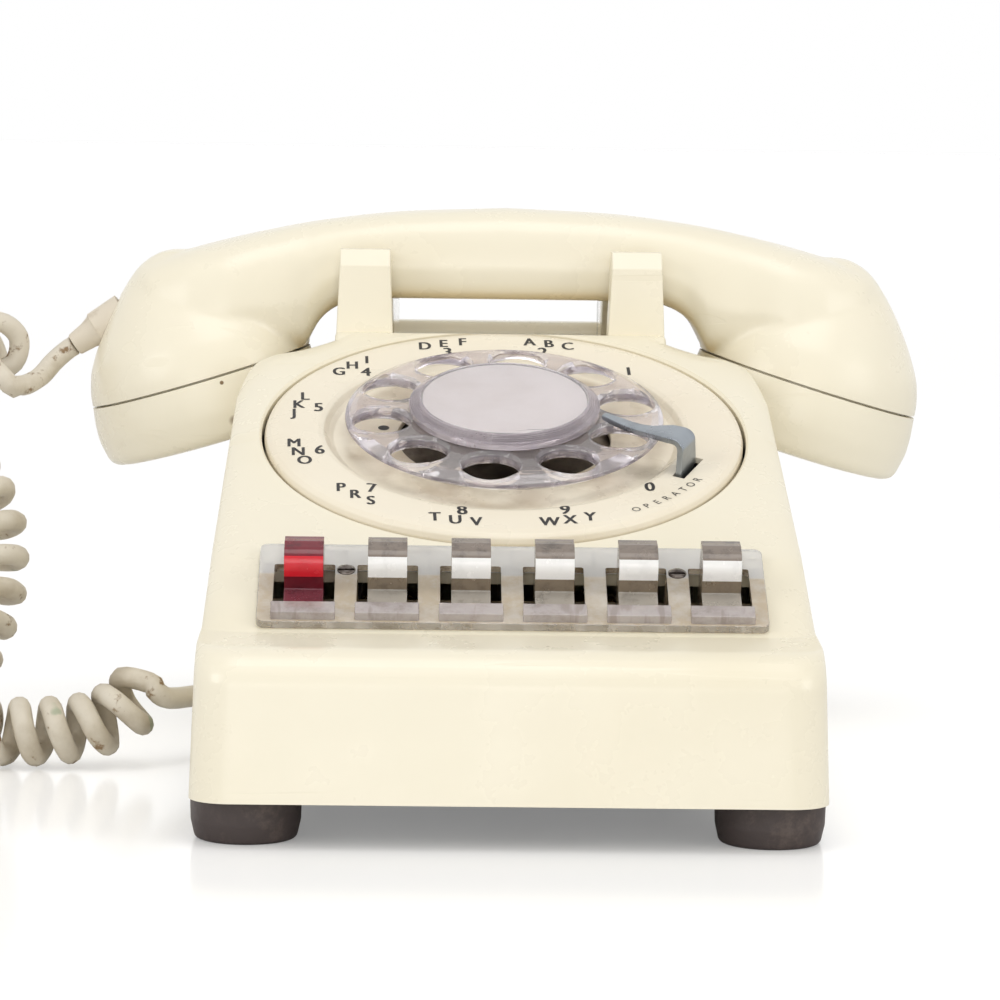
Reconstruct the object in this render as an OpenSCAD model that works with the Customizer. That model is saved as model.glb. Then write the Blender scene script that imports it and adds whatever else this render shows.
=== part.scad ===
// Six-key rotary desk telephone, in millimetres.
// The origin lies under the middle of the set, on the table. The dial faces -Y.

/* [Housing] */
// Height of the feet under the housing
foot_h = 10; // [6:0.5:14]
// Diameter of a rubber foot
foot_d = 24.5; // [18:0.5:28]
// Width of the housing at its front lower edge
housing_w = 138.4; // [130:0.5:150]
// Depth of the housing
housing_d = 233; // [225:1:245]
// Wall of the moulded housing
wall = 2.8; // [2:0.1:3.5]
// Height of the housing's edge in front of the key slope
nose_z = 43.89; // [40:0.01:48]
// Length of the key slope, measured along the table
key_run = 27.7; // [25:0.1:30]
// Angle of the key slope to the table
key_angle = 27; // [24:0.5:30]
// Length of the dial slope, measured along the table
dial_run = 108.7; // [106:0.5:114]
// Angle of the dial slope to the table
dial_slope = 21.5; // [20:0.5:23]

/* [Cradle] */
// Half width of the cradle tower that carries the ears
tower_half = 41.5; // [40:0.5:42.5]
// Distance from the tower's front to its rear, at the ears
cradle_depth = 53.6; // [52.8:0.2:57]
// Height of the ears above the ridge
ear_h = 21.4; // [16:0.2:26]
// Width of an ear at its foot
ear_w = 14.6; // [11:0.2:16]
// Thickness of an ear from front to back
ear_t = 11; // [8:0.2:11.4]
// Width of a plunger
plunger_w = 7.6; // [6:0.2:8.4]
// Depth of a plunger
plunger_t = 9.6; // [8:0.2:12]
// Travel of the plungers
plunger_travel = 5.5; // [4:0.1:7]

/* [Dial] */
// Diameter of the number plate
plate_d = 114.3; // [110:0.1:116]
// Tilt of the number plate to the table
dial_tilt = 20.5; // [19:0.5:22]
// Diameter of the finger wheel
wheel_d = 76.2; // [74:0.1:79]
// Thickness of the finger wheel
wheel_t = 3.3; // [2.5:0.1:4]
// Diameter of a finger hole
hole_d = 13.3; // [12:0.1:13.8]
// Radius of the circle that the finger holes lie on
hole_circle = 29.8; // [29.5:0.1:30.5]
// Diameter of the card window
window_d = 45.6; // [42:0.2:47]
// Diameter of the dial shaft
shaft_d = 6; // [5:0.1:8]
// Tooth size of the dial gears
gear_module = 0.8; // [0.7:0.05:0.9]

/* [Keys] */
// Distance between keys
key_pitch = 18.5; // [17.5:0.1:19]
// Width of a key
key_w = 8.7; // [7:0.1:9.5]
// Height of a key above the strip
key_h = 9.8; // [8:0.1:11]
// Depth of a key from front to back
key_depth = 9.9; // [9:0.1:10.4]
// Travel of a key
key_travel = 3; // [2:0.1:3.4]
// Length of the clear key strip
strip_l = 113; // [111:0.5:116]
// Thickness of the clear key strip above the housing
strip_t = 2; // [1.6:0.1:3]

/* [Handset] */
// Distance between the outer ends of the two seams
handset_l = 211.9; // [206:0.2:216]
// Diameter of a screwed cap at its seam
cap_d = 58; // [56:0.2:60]
// Thickness of a screwed cap
cap_t = 16; // [14:0.2:17]
// How much deeper the receiver's cap is
receiver_more = 1.4; // [0:0.1:2]
// Tilt of each cap to the table
cap_tilt = 17; // [15:0.5:18]
// Height of the handle from its underside to its crown
handle_h = 23.1; // [20:0.1:25]
// Width of the handle from front to back
handle_w = 29.6; // [26:0.2:30.2]
// How far the handset lies to the right of the middle
handset_shift = 1.8; // [0:0.1:3]

/* [Ringer] */
// Diameter of a gong
gong_d = 42; // [38:0.5:44]
// Height of a gong
gong_h = 13; // [10:0.5:15]

/* [Hidden] */
SMOOTH = 72;

// Gaps: between pieces that move past each other, between seated pieces, and round a turning shaft
run_gap = 0.4;
seat_gap = 0.2;
shaft_gap = 0.05;
cut = 1;
plate_t = 1.4;

// Places that follow from the housing
front_y = -housing_d / 2;
rear_y = housing_d / 2;
key_foot_y = front_y + 24.1;
key_top_y = key_foot_y + key_run;
key_top_z = nose_z + key_run * tan(key_angle);
ridge_y = key_top_y + dial_run;
ridge_z = key_top_z + dial_run * tan(dial_slope);
crown_z = ridge_z + 0.7;
half_w = housing_w / 2 + 0.2;
side_draft = 0.03;
plan_taper = 0.018;
function half_width(y, z) = half_w - side_draft * (z - foot_h) - plan_taper * (y - front_y);
function slope_z(y) = key_top_z + (y - key_top_y) * tan(dial_slope);

// The nose: a ledge in front of the keys that rounds over into the front face
nose_r = 9;
ledge_run = 12;
ledge_drop = 1.1;
face_lean = 2.4;
front_line = concat(
  [[foot_h, front_y], [nose_z - ledge_drop - nose_r, front_y + face_lean]],
  [for (a = [15:15:75]) [nose_z - ledge_drop - nose_r * (1 - sin(a)),
    front_y + face_lean + (key_foot_y - ledge_run - front_y - face_lean) * (1 - cos(a))]],
  [[nose_z - ledge_drop, key_foot_y - ledge_run], [nose_z - 0.5, key_foot_y - 6], [nose_z, key_foot_y],
   [key_top_z, key_top_y], [ridge_z, ridge_y], [crown_z, ridge_y + 2.4]]);
// The rear: a low deck under the handset's caps and a near upright wall up to the ridge
deck_z = 60;
rear_line = [[foot_h, rear_y], [foot_h + 20, rear_y - 3.5], [foot_h + 35, rear_y - 11],
  [deck_z - 6, rear_y - 22], [deck_z - 2, rear_y - 35], [deck_z, ridge_y + 28], [deck_z + 2, ridge_y + 14],
  [deck_z + 6, ridge_y + 7.5], [deck_z + 12, ridge_y + 5.6], [ridge_z, ridge_y + 4.6], [crown_z, ridge_y + 4]];
// The shoulders draw in towards the ridge
shoulder_line = [[0, 0], [ridge_z - 14, 0], [ridge_z - 9.3, 1.6], [ridge_z - 6.8, 3.4], [ridge_z - 5, 7],
  [ridge_z - 3.7, 14], [ridge_z - 1, 23], [crown_z, 27]];
levels = concat([foot_h, foot_h + 20, nose_z - ledge_drop - nose_r], [for (a = [15:15:75])
    nose_z - ledge_drop - nose_r * (1 - sin(a))],
  [nose_z - ledge_drop, nose_z - 0.5, nose_z, nose_z + 5, key_top_z - 4, key_top_z, deck_z, deck_z + 2,
   deck_z + 6, deck_z + 12], [for (drop = [24, 19, 14, 11.5, 9.3, 6.8, 5, 3.7, 2.4, 1, 0]) ridge_z - drop],
  [crown_z]);
corner_steps = 5;

// One level of the housing, drawn in by an inset: a rounded four-sided ring, narrower at its rear
function level_ring(z, inset) =
  let (yf = lookup(z, front_line) + inset, yr = lookup(z, rear_line) - inset,
    wf = half_width(yf, z) - lookup(z, shoulder_line) - inset,
    wr = half_width(yr, z) - lookup(z, shoulder_line) - inset,
    r = min(9 - inset, (yr - yf) * 0.45), rr = min(14 - inset, (yr - yf) * 0.45))
  concat(arc_points(wf - r, yf + r, r, -90), arc_points(wr - rr, yr - rr, rr, 0),
    arc_points(-wr + rr, yr - rr, rr, 90), arc_points(-wf + r, yf + r, r, 180));
function arc_points(cx, cy, r, from) =
  [for (i = [0:corner_steps]) let (a = from + 90 * i / corner_steps) [cx + r * cos(a), cy + r * sin(a)]];

// A closed solid through rings of equal length
module loft(rings) {
  n = len(rings[0]);
  m = len(rings);
  sides = [for (j = [0:m - 2], i = [0:n - 1], half = [0, 1])
    let (a = j * n + i, b = j * n + (i + 1) % n) half == 0 ? [a, a + n, b] : [b, a + n, b + n]];
  caps = [[for (i = [0:n - 1]) i], [for (i = [n - 1:-1:0]) (m - 1) * n + i]];
  polyhedron(points = [for (ring = rings, p = ring) p], faces = concat(sides, caps), convexity = 8);
}
module housing_form(inset, drop) {
  loft([for (z = levels) [for (p = level_ring(z, inset)) [p.x, p.y, z - drop]]]);
}

// Frames on the two slopes
dial_y = key_top_y + dial_run * 0.54;
plate_rise = 1.2;
module on_dial(turn = 2) {
  translate([0, dial_y, slope_z(dial_y) + plate_rise]) rotate([dial_tilt, 0, 0]) rotate([0, 0, turn])
    children();
}
key_offset = [0.7, 1.6, 0];
module on_keys() {
  translate([0, key_top_y, key_top_z]) rotate([key_angle, 0, 0]) translate(key_offset) children();
}
function key_x(i) = (i - 3.5) * key_pitch;

// Key strip layout along the slope: 0 is its far edge
strip_depth = 31;
slot_w = key_w + 4.9;
slot_near = -26;
slot_far = -8.4;
strip_bevel = 1.2;
screw_v = -10.4;
paper_near = -11.2;
screw_x = 2 * key_pitch;
frame_h = -9;
frame_t = 1.2;
frame_floor = -26;
stem_w = 6.4;
stem_t = 5.2;
stem_v = slot_far - 6.3;
flange_h = frame_h - frame_t - key_travel - 2;

// Cradle layout
tower_front = ridge_y - 6;
ear_front_y = ridge_y + 5.2;
ear_rear_y = ear_front_y + cradle_depth;
tower_rear = ear_rear_y + 1;
saddle_z = ridge_z + 8.2;
pad_w = 7;
pad_l = cradle_depth - 2 * ear_t + 10;
handle_y = (ear_front_y + ear_rear_y) / 2;
plunger_x = 29.4;
plunger_y = handle_y + 2;
trough_z = ridge_z - 1.8;
ear_x = tower_half - ear_w / 2;
lever_z = 72;
switch_z = 45;
lever_y = ridge_y + 13;

// Handset layout
seam_r = cap_d / 2;
seam_x = handset_l / 2 - seam_r * cos(cap_tilt);
handle_z = saddle_z + seat_gap;
crown_top = handle_z + handle_h;
seam_z = crown_top - 44;
hood_h = 33.5;
cap_neck_r = seam_r - 2.6;
unit_r = 23.5;

// Cord routes: hand-chosen points from the handset's left end to the housing's left side
cord_r = 2.6;
coil_r = 8.6;
lead_route = [[-109.23, 76, 95.5], [-111.4, 76, 93.98], [-114.2, 73.5, 91.4], [-117.2, 67.2, 87.9],
  [-121, 61.4, 86.1], [-125.2, 59.9, 86.7]];
hang_route = [[-127.6, 63.6, 95.5], [-128.1, 68.5, 95.4], [-130, 73, 94.3], [-133.5, 76.3, 91.5],
  [-137.5, 77.2, 87], [-140.3, 75, 81.5], [-141.2, 70, 76.5], [-140.3, 63.5, 72], [-137.8, 57, 68.5],
  [-134, 50.5, 65], [-129.6, 44.3, 60], [-126.4, 39, 53.3], [-125, 33.5, 45], [-125.5, 27.5, 36],
  [-128, 21, 27.5], [-132, 14, 19.5]];
floor_route = [[-132.4, 12.9, 18.7], [-134.6, 7, 13.4], [-134.5, 1, 10], [-131.4, -5, 9], [-126, -9.5, 8.8],
  [-119, -11.7, 8.7], [-112.5, -12, 8.8], [-105.2, -12, 9.4], [-97.9, -11.5, 10.6], [-91, -10.3, 13.4],
  [-86.4, -8, 17.4]];
tail_route = [[-83.7, -9.5, 20.4], [-82.4, -10.4, 18.7], [-80.4, -9.1, 17], [-78, -4.2, 16.1], [-75.6, 0.8, 15.7],
  [-73.2, 4.3, 15.5], [-70.8, 5, 15.5], [-62, 5, 15.5]];
inlet_x = 30;
cord_in_y = 5;
cord_in_z = 15.5;

// A tube swept along a route of points
function unit(v) = v / norm(v);
function along(route, i) = unit(route[min(i + 1, len(route) - 1)] - route[max(i - 1, 0)]);
function side_of(d) = unit(cross(d, [1, 0, -1]));
module tube(route, r, steps) {
  loft([for (i = [0:len(route) - 1]) let (d = along(route, i), s = side_of(d), u = cross(d, s))
    [for (k = [0:steps - 1]) let (a = 360 * k / steps) route[i] + r * (cos(a) * s + sin(a) * u)]]);
}

// A spur gear with involute flanks, thinned a little for backlash
pressure = 20;
backlash = 0.16;
function flank(base, r) = sqrt(max(pow(r / base, 2) - 1, 0));
function roll(base, r) = flank(base, r) * 180 / PI - atan(flank(base, r));
module gear(teeth, tip, thick) {
  pitch_r = teeth * gear_module / 2;
  base_r = pitch_r * cos(pressure);
  root_r = pitch_r - 1.25 * gear_module;
  half_tooth = 90 / teeth - backlash / pitch_r * 90 / PI + roll(base_r, pitch_r);
  radii = [root_r, max(base_r, root_r + 0.05), (pitch_r + base_r) / 2 + 0.05, tip];
  linear_extrude(thick) polygon([for (t = [0:teeth - 1], side = [-1, 1], k = [0:3])
    let (r = radii[side < 0 ? k : 3 - k], a = 360 * t / teeth + side * (half_tooth - roll(base_r, r)))
    [r * cos(a), r * sin(a)]]);
}
main_teeth = 48;
pinion_teeth = 12;
gear_centre = (main_teeth + pinion_teeth) * gear_module / 2 + 0.1;
gear_h = -16;

// The gongs stand at the rear, and the loudness wheel in a slot of the base plate
gong_x = 25;
gong_y = rear_y - 32.5;
gong_z = foot_h + plate_t + 8;
loud_d = 18;
loud_x = -38;
loud_y = gong_y - 34;
loud_rise = 5;

// ---------------------------------------------------------------- housing and base

module ear(x, y, lean) {
  // A prong with a bevelled crest that leans away from the handle
  top_w = ear_w - 2;
  crest = 4.2;
  translate([x, y, 0]) hull() {
    translate([-ear_w / 2, -ear_t / 2, trough_z - 3]) cube([ear_w, ear_t, cut]);
    translate([-top_w / 2, -ear_t / 2 + 0.6, ridge_z + ear_h - crest]) cube([top_w, ear_t - 0.8, 0.1]);
    translate([-top_w / 2, lean > 0 ? -ear_t / 2 + 3.6 : -ear_t / 2 + 0.8, ridge_z + ear_h - 0.1])
      cube([top_w, ear_t - 4.4, 0.1]);
  }
}
module tower_form() {
  // The cradle block behind the ridge, with a shallow trough between a front and a rear lip
  rotate([90, 0, 90]) translate([0, 0, -tower_half]) linear_extrude(2 * tower_half)
    polygon([[tower_front, deck_z - 4], [tower_front, slope_z(tower_front) - 2.2], [ridge_y, ridge_z - 1],
      [ridge_y + 3, ridge_z + 0.6], [ridge_y + 6.5, ridge_z + 0.6], [ridge_y + 10, trough_z],
      [tower_rear - 9, trough_z], [tower_rear - 7, ridge_z + 1], [tower_rear, ridge_z + 1],
      [tower_rear + 1.5, ridge_z - 2], [tower_rear + 2.4, ridge_z - 22], [tower_rear + 6, deck_z - 4]]);
}
hand_hold_w = 60;
hand_hold_z = ridge_z - 28;
hand_hold_h = 20;
module plunger_shape(grow, low, high) {
  translate([-plunger_w / 2 - grow, -plunger_t / 2 - grow, low])
    cube([plunger_w + 2 * grow, plunger_t + 2 * grow, high - low]);
}
post_d = 9;
post_y = [front_y + 13, rear_y - 16];
post_z = foot_h + plate_t + 0.1;
post_top = [nose_z - 3.4, deck_z - 18];
screw_r = 1.6;
module housing() color("ivory") difference() {
  union() {
    difference() {
      union() {
        housing_form(0, 0);
        tower_form();
      }
      intersection() {
        housing_form(wall, wall + 0.4);
        translate([-housing_w, front_y, foot_h - 4]) cube([2 * housing_w, housing_d, ridge_z - 6 - foot_h]);
      }
      // Room inside the tower for the plungers, and the hand-hold at its back
      translate([-tower_half + wall + 1, ridge_y + 8, 40])
        cube([2 * (tower_half - wall - 1), tower_rear - ridge_y - 26, trough_z - 3.2 - 40]);
      translate([-hand_hold_w / 2, tower_rear - 14, hand_hold_z]) cube([hand_hold_w, 40, hand_hold_h]);
    }
    for (side = [-1, 1]) {
      ear(side * ear_x, ear_front_y + ear_t / 2, 1);
      ear(side * ear_x, ear_rear_y - ear_t / 2, -1);
      // Saddle pads that the handle rests on, falling away outwards under its arch
      translate([side * (ear_x - 0.4), ear_front_y + ear_t - 5, 0]) rotate([90, 0, 180 * (side < 0 ? 1 : 0)])
        translate([0, 0, side > 0 ? -pad_l : 0]) linear_extrude(pad_l)
          polygon([[0, trough_z - cut], [pad_w, trough_z - cut], [pad_w, saddle_z - pad_fall], [0, saddle_z]]);
    }
    for (i = [0, 1]) translate([0, post_y[i], post_z]) cylinder(d = post_d, h = post_top[i] - post_z, $fn = SMOOTH);
  }
  // The opening for the dial
  on_dial(0) translate([0, 0, -9]) cylinder(d = plate_d + 1.4, h = 30, $fn = SMOOTH);
  // The opening under the key strip
  on_keys() translate([-3 * key_pitch, slot_near - 1, -8]) cube([6 * key_pitch, slot_far - slot_near + 3, 9]);
  for (side = [-1, 1]) translate([side * plunger_x, plunger_y, 0])
    plunger_shape(run_gap, 40, saddle_z + 4);
  for (y = post_y) translate([0, y, foot_h]) cylinder(r = screw_r, h = 22, $fn = SMOOTH);
  // Notches for the handset cord and for the line cord
  translate([-housing_w / 2 - 10, cord_in_y, cord_in_z]) rotate([0, 90, 0])
    cylinder(r = 4.2, h = 20, $fn = SMOOTH);
  translate([-housing_w / 2 - 10, cord_in_y - 4.2, 0]) cube([20, 8.4, cord_in_z]);
  translate([inlet_x, rear_y + 10, cord_in_z]) rotate([90, 0, 0]) cylinder(r = 5.2, h = 22, $fn = SMOOTH);
  translate([inlet_x - 5.2, rear_y - 12, 0]) cube([10.4, 22, cord_in_z]);
}

foot_x = [half_w - foot_d / 2 + 0.1, half_w - foot_d / 2 - 5];
foot_y = [front_y + foot_d / 2 + 4.5, rear_y - foot_d / 2 - 5];
module base_plate() color("gainsboro") difference() {
  translate([0, 0, foot_h]) union() {
    linear_extrude(plate_t) polygon(level_ring(foot_h, wall + 1.6));
    // A stiffening bead round the plate
    for (side = [-1, 1]) translate([side * 50 - 1, -70, plate_t - 0.1]) cube([2, 130, 2.1]);
    // A bracket with the pin of the loudness wheel
    for (side = [-1, 1]) translate([loud_x - 4, loud_y + side * 2.7 - 0.5, plate_t - 0.1]) cube([8, 1, 8]);
    translate([loud_x, loud_y + 4, loud_rise]) rotate([90, 0, 0]) cylinder(r = 1.5, h = 8, $fn = SMOOTH);
  }
  for (y = post_y) translate([0, y, 0]) cylinder(r = screw_r + 0.3, h = 30, $fn = SMOOTH);
  for (i = [0, 1], side = [-1, 1]) translate([side * foot_x[i], foot_y[i], 0])
    cylinder(r = 2.2, h = 20, $fn = SMOOTH);
  // Sound slots under the gongs, the loudness wheel's slot and the cord notches
  for (side = [-1, 1], k = [-2:2]) translate([side * gong_x - 12, gong_y + 5 * k - 1, 0]) cube([24, 2, foot_h + 5]);
  translate([loud_x - loud_d / 2 - 1, loud_y - 1.9, 0]) cube([loud_d + 2, 3.8, foot_h + plate_t]);
  translate([-housing_w / 2 - 4, cord_in_y - 7, 0]) cube([14, 14, 30]);
  translate([inlet_x - 8, rear_y - 12, 0]) cube([16, 22, 30]);
}
module feet() color("#2b211f") for (i = [0, 1], side = [-1, 1]) translate([side * foot_x[i], foot_y[i], 0])
  rotate_extrude($fn = SMOOTH) polygon([[3, 2.5], [8, 2.5], [9, 0], [foot_d / 2 - 1.6, 0],
    [foot_d / 2 - 0.7, 0.7], [foot_d / 2 - 0.2, foot_h / 2], [foot_d / 2, foot_h], [2, foot_h],
    [2, foot_h + plate_t + 0.6], [0, foot_h + plate_t + 0.6], [0, 4], [3, 4]]);
module housing_screws() color("silver") for (y = post_y) translate([0, y, 0]) difference() {
  union() {
    translate([0, 0, foot_h - 2.2]) cylinder(d = 8, h = 2, $fn = SMOOTH);
    translate([0, 0, foot_h - 0.5]) cylinder(r = screw_r - shaft_gap, h = 20, $fn = SMOOTH);
  }
  translate([-5, -0.6, foot_h - 3]) cube([10, 1.2, 1.8]);
}

// ---------------------------------------------------------------- dial

plate_r = plate_d / 2;
well_r = wheel_d / 2 + 2.6;
well_h = -2.4;
opening_r = 25.5;
sheet = 1.4;
module number_plate() color("#f3e8cf") on_dial() difference() {
  rotate_extrude($fn = 120) polygon([[opening_r, well_h - sheet], [opening_r, well_h], [well_r, well_h],
    [well_r + 1.6, well_h + 0.5], [well_r + 4.4, -0.4], [well_r + 7, 0], [plate_r - 3.4, 0],
    [plate_r - 1.8, -0.3], [plate_r - 0.6, -1], [plate_r, -2.2], [plate_r, -3.8],
    [plate_r - sheet, -3.8], [plate_r - sheet - 0.4, -1.9], [plate_r - 3.6, -sheet],
    [well_r + 6, -sheet], [well_r + 0.6, well_h - sheet]]);
  rotate([0, 0, -stop_angle]) translate([-stop_w / 2 - 0.7, well_r - 2, -8])
    cube([stop_w + 1.4, stop_r - well_r + 2.6, 12]);
}
stop_angle = 117.5;
stop_r = plate_r - 9.35;
stop_w = 10.4;
stop_t = 1.5;
stop_h = 8.8;
module finger_stop() color("#808890") on_dial() rotate([0, 0, -stop_angle]) {
  // A folded strip: a foot on the pan, an upright in the slot, and an arm that narrows to its tip
  translate([-stop_w / 2, stop_r - 7, case_h + pan_t]) cube([stop_w, 7, 0.9]);
  translate([0, stop_r, 0]) rotate([90, 0, 0]) linear_extrude(stop_t)
    polygon([[-stop_w / 2, case_h + pan_t], [stop_w / 2, case_h + pan_t], [stop_w / 2, 1],
      [stop_w / 2 - 0.3, stop_h - 0.8], [stop_w / 2 - 1, stop_h], [-2.4, stop_h], [-3.6, stop_h - 0.7],
      [-stop_w / 2, 0.5]]);
  translate([0, 0, stop_h - stop_t]) linear_extrude(stop_t)
    polygon([[stop_w / 2 - 1, stop_r], [4.5, stop_r - 3], [3.9, stop_r - 8], [3.5, stop_r - 13.4],
      [1.6, stop_r - 18.6], [-0.4, stop_r - 22.8], [-2.2, stop_r - 22.8], [-0.8, stop_r - 16.6],
      [0, stop_r - 12.4], [-0.3, stop_r - 9.6], [-1.6, stop_r - 7.4], [-3, stop_r - 5.6], [-3.1, stop_r - 3],
      [-2.4, stop_r]]);
}
case_r = plate_r - 4;
case_h = -6.2;
pan_t = 1.4;
bearing_d = shaft_d + 6;
module dial_case() color("silver") {
  on_dial() difference() {
    union() {
      // A pressed pan with a rim that carries the number plate, a shaft bearing and three posts
      translate([0, 0, case_h]) cylinder(r = case_r, h = pan_t, $fn = SMOOTH);
      difference() {
        translate([0, 0, case_h]) cylinder(r = case_r, h = -case_h - sheet, $fn = SMOOTH);
        translate([0, 0, case_h]) cylinder(r = case_r - 1.5, h = 10, $fn = SMOOTH);
      }
      translate([0, 0, gear_h + 3]) cylinder(d = bearing_d, h = case_h - gear_h - 3 + 0.1, $fn = SMOOTH);
      for (a = [30:120:270]) rotate([0, 0, a]) translate([0, post_r, -20])
        cylinder(d = 8, h = case_h + 20 + 0.1, $fn = SMOOTH);
    }
    translate([0, 0, -30]) cylinder(d = shaft_d + 2 * shaft_gap, h = 60, $fn = SMOOTH);
    translate([0, -gear_centre, -30]) cylinder(r = governor_shaft + shaft_gap, h = 60, $fn = SMOOTH);
  }
  // Legs that stand on the base plate
  for (side = [-1, 1]) difference() {
    translate([side * 44 - 1, dial_y - 12, foot_h + plate_t]) cube([2, 20, crown_z - foot_h]);
    on_dial() translate([-plate_d, -plate_d, case_h + 0.2]) cube(2 * plate_d);
  }
}
post_r = 38;
module dial_screws() color("silver") on_dial() for (a = [30:120:270]) rotate([0, 0, a])
  translate([0, post_r, 0]) difference() {
    translate([0, 0, -22.2]) cylinder(d = 6.4, h = 2.2, $fn = SMOOTH);
    translate([-4, -0.5, -23]) cube([8, 1, 1.6]);
  }
wheel_h = 1.4;
wheel_top = wheel_h + wheel_t;
wheel_r = wheel_d / 2;
hub_h = 7;
hub_r = window_d / 2 - 3.1;
module finger_wheel() color("#d8d0cc", 0.5) on_dial() difference() {
  union() {
    rotate_extrude($fn = 120) polygon([[0, wheel_h], [wheel_r - 1.6, wheel_h], [wheel_r, wheel_h + 1.2],
      [wheel_r - 0.2, wheel_top - 1.4], [wheel_r - 3, wheel_top], [hub_r + 1.6, wheel_top], [hub_r, wheel_top + 1],
      [hub_r, hub_h], [0, hub_h]]);
    translate([0, 0, wheel_h - 1.6]) cylinder(r = 10, h = 3, $fn = SMOOTH);
  }
  for (k = [0:9]) rotate([0, 0, -45 + 30 * k]) translate([0, hole_circle, wheel_h - cut])
    cylinder(d = hole_d, h = wheel_t + 2 * cut, $fn = SMOOTH);
  translate([0, 0, -2]) cylinder(d = shaft_d + 2 * seat_gap, h = 6, $fn = SMOOTH);
}
card_t = 0.3;
card_h = hub_h + seat_gap;
module number_card() color("#e6dcda") on_dial() translate([0, 0, card_h])
  cylinder(r = hub_r - 0.1, h = card_t, $fn = SMOOTH);
module card_window() color("#cfc6c6", 0.4) on_dial() {
  top = card_h + card_t + 0.6;
  r = window_d / 2;
  // A turned clear ring with a finely stepped slope round a flat pane
  rotate_extrude($fn = 120) polygon(concat([[hub_r + seat_gap, wheel_top + 1.2], [r, wheel_top + 0.2]],
    [for (k = [0:3], s = [0, 1]) [r - 0.1 - 0.6 * k - 0.25 * s, top - 1.5 + 0.32 * k + 0.28 * s]],
    [[r - 2.6, top], [0, top], [0, card_h + card_t + seat_gap], [hub_r + seat_gap, card_h + card_t + seat_gap]]));
}
module dial_shaft() color("silver") on_dial() {
  translate([0, 0, gear_h - 6]) cylinder(d = shaft_d, h = 4 - gear_h + 5.4, $fn = SMOOTH);
  translate([0, 0, gear_h - 6]) cylinder(d = shaft_d + 4, h = 1.2, $fn = SMOOTH);
}
module main_gear() color("goldenrod") on_dial() translate([0, 0, gear_h]) difference() {
  union() {
    gear(main_teeth, main_teeth * gear_module / 2 + 0.5 * gear_module, 1.6);
    cylinder(d = shaft_d + 6, h = 2.6, $fn = SMOOTH);
  }
  translate([0, 0, -cut]) cylinder(d = shaft_d + 0.02, h = 6, $fn = SMOOTH);
  for (a = [0:60:300]) rotate([0, 0, a]) translate([0, 11.5, -cut]) cylinder(d = 6, h = 4, $fn = SMOOTH);
}
governor_r = 12;
governor_shaft = 1.5;
module governor() color("goldenrod") on_dial() rotate([0, 0, 180]) translate([0, gear_centre, 0]) {
  // The governor's shaft with its pinion, and a bar with two weights inside the cup
  translate([0, 0, gear_h - 14]) cylinder(r = governor_shaft, h = 14 - gear_h + case_h + pan_t, $fn = SMOOTH);
  translate([0, 0, gear_h - 0.6]) rotate([0, 0, 180 / pinion_teeth * (1 + main_teeth / 2 % 2)])
    gear(pinion_teeth, (pinion_teeth / 2 + 0.9) * gear_module, 2.8);
  translate([-governor_r + 3, -1.5, gear_h - 9]) cube([2 * governor_r - 6, 3, 2]);
  for (side = [-1, 1]) translate([side * (governor_r - 4), 0, gear_h - 10]) cylinder(d = 5, h = 4, $fn = SMOOTH);
}
module governor_cup() color("silver") on_dial() rotate([0, 0, 180]) translate([0, gear_centre, 0]) {
  difference() {
    union() {
      translate([0, 0, gear_h - 12.5]) cylinder(r = governor_r + 1.4, h = 9, $fn = SMOOTH);
      // A post back to the dial case
      translate([-3, governor_r - 1, gear_h - 12.5]) cube([6, 5, case_h - gear_h + 12.5]);
    }
    translate([0, 0, gear_h - 11.3]) cylinder(r = governor_r, h = 20, $fn = SMOOTH);
    translate([0, 0, gear_h - 20]) cylinder(r = governor_shaft + shaft_gap, h = 20, $fn = SMOOTH);
  }
}
module pulse_springs() color("peru") on_dial() rotate([0, 0, 80]) translate([0, 27, case_h - 7.4])
  for (k = [0:3]) {
    translate([-3, 0, 1.8 * k]) cube([6, 14, 0.4]);
    translate([-3.4, 9, 1.8 * k + 0.4]) cube([6.8, 5, k < 3 ? 1.4 : 1.6]);
  }

// ---------------------------------------------------------------- keys

module key_strip() color("#d9d4cf", 0.5) on_keys() difference() {
  union() {
    // A clear plate with bevelled edges, and a raised window in front of each key
    hull() {
      translate([-strip_l / 2, -strip_depth, 0]) cube([strip_l, strip_depth, strip_t - strip_bevel]);
      translate([-strip_l / 2 + strip_bevel, -strip_depth + strip_bevel, 0])
        cube([strip_l - 2 * strip_bevel, strip_depth - 2 * strip_bevel, strip_t]);
    }
    for (i = [1:6]) translate([key_x(i) - slot_w / 2 - 0.3, -strip_depth + 0.6, 0])
      cube([slot_w + 0.6, strip_depth + slot_near - 0.6, strip_t + 2]);
  }
  for (i = [1:6]) translate([key_x(i) - slot_w / 2, slot_near, -cut])
    cube([slot_w, slot_far - slot_near, strip_t + 4]);
  for (side = [-1, 1]) translate([side * screw_x, screw_v, -cut]) {
    cylinder(r = 1.4, h = 5, $fn = SMOOTH);
    translate([0, 0, cut + strip_t - 0.9]) cylinder(r = 2.1, h = 3, $fn = SMOOTH);
  }
  // A shallow bed for the paper strip
  translate([-strip_l / 2 + 4, paper_near - 0.3, -cut]) cube([strip_l - 8, -paper_near - 0.6, cut + 0.5]);
}
module designation_strip() color("white") on_keys() difference() {
  translate([-strip_l / 2 + 4.4, paper_near, 0.05]) cube([strip_l - 8.8, -paper_near - 1.2, 0.3]);
  for (i = [1:6]) translate([key_x(i) - slot_w / 2 - 0.3, slot_near, -cut])
    cube([slot_w + 0.6, slot_far - slot_near + 0.3, 3]);
  for (side = [-1, 1]) translate([side * screw_x, screw_v, -cut]) cylinder(r = 1.8, h = 5, $fn = SMOOTH);
}
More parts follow.
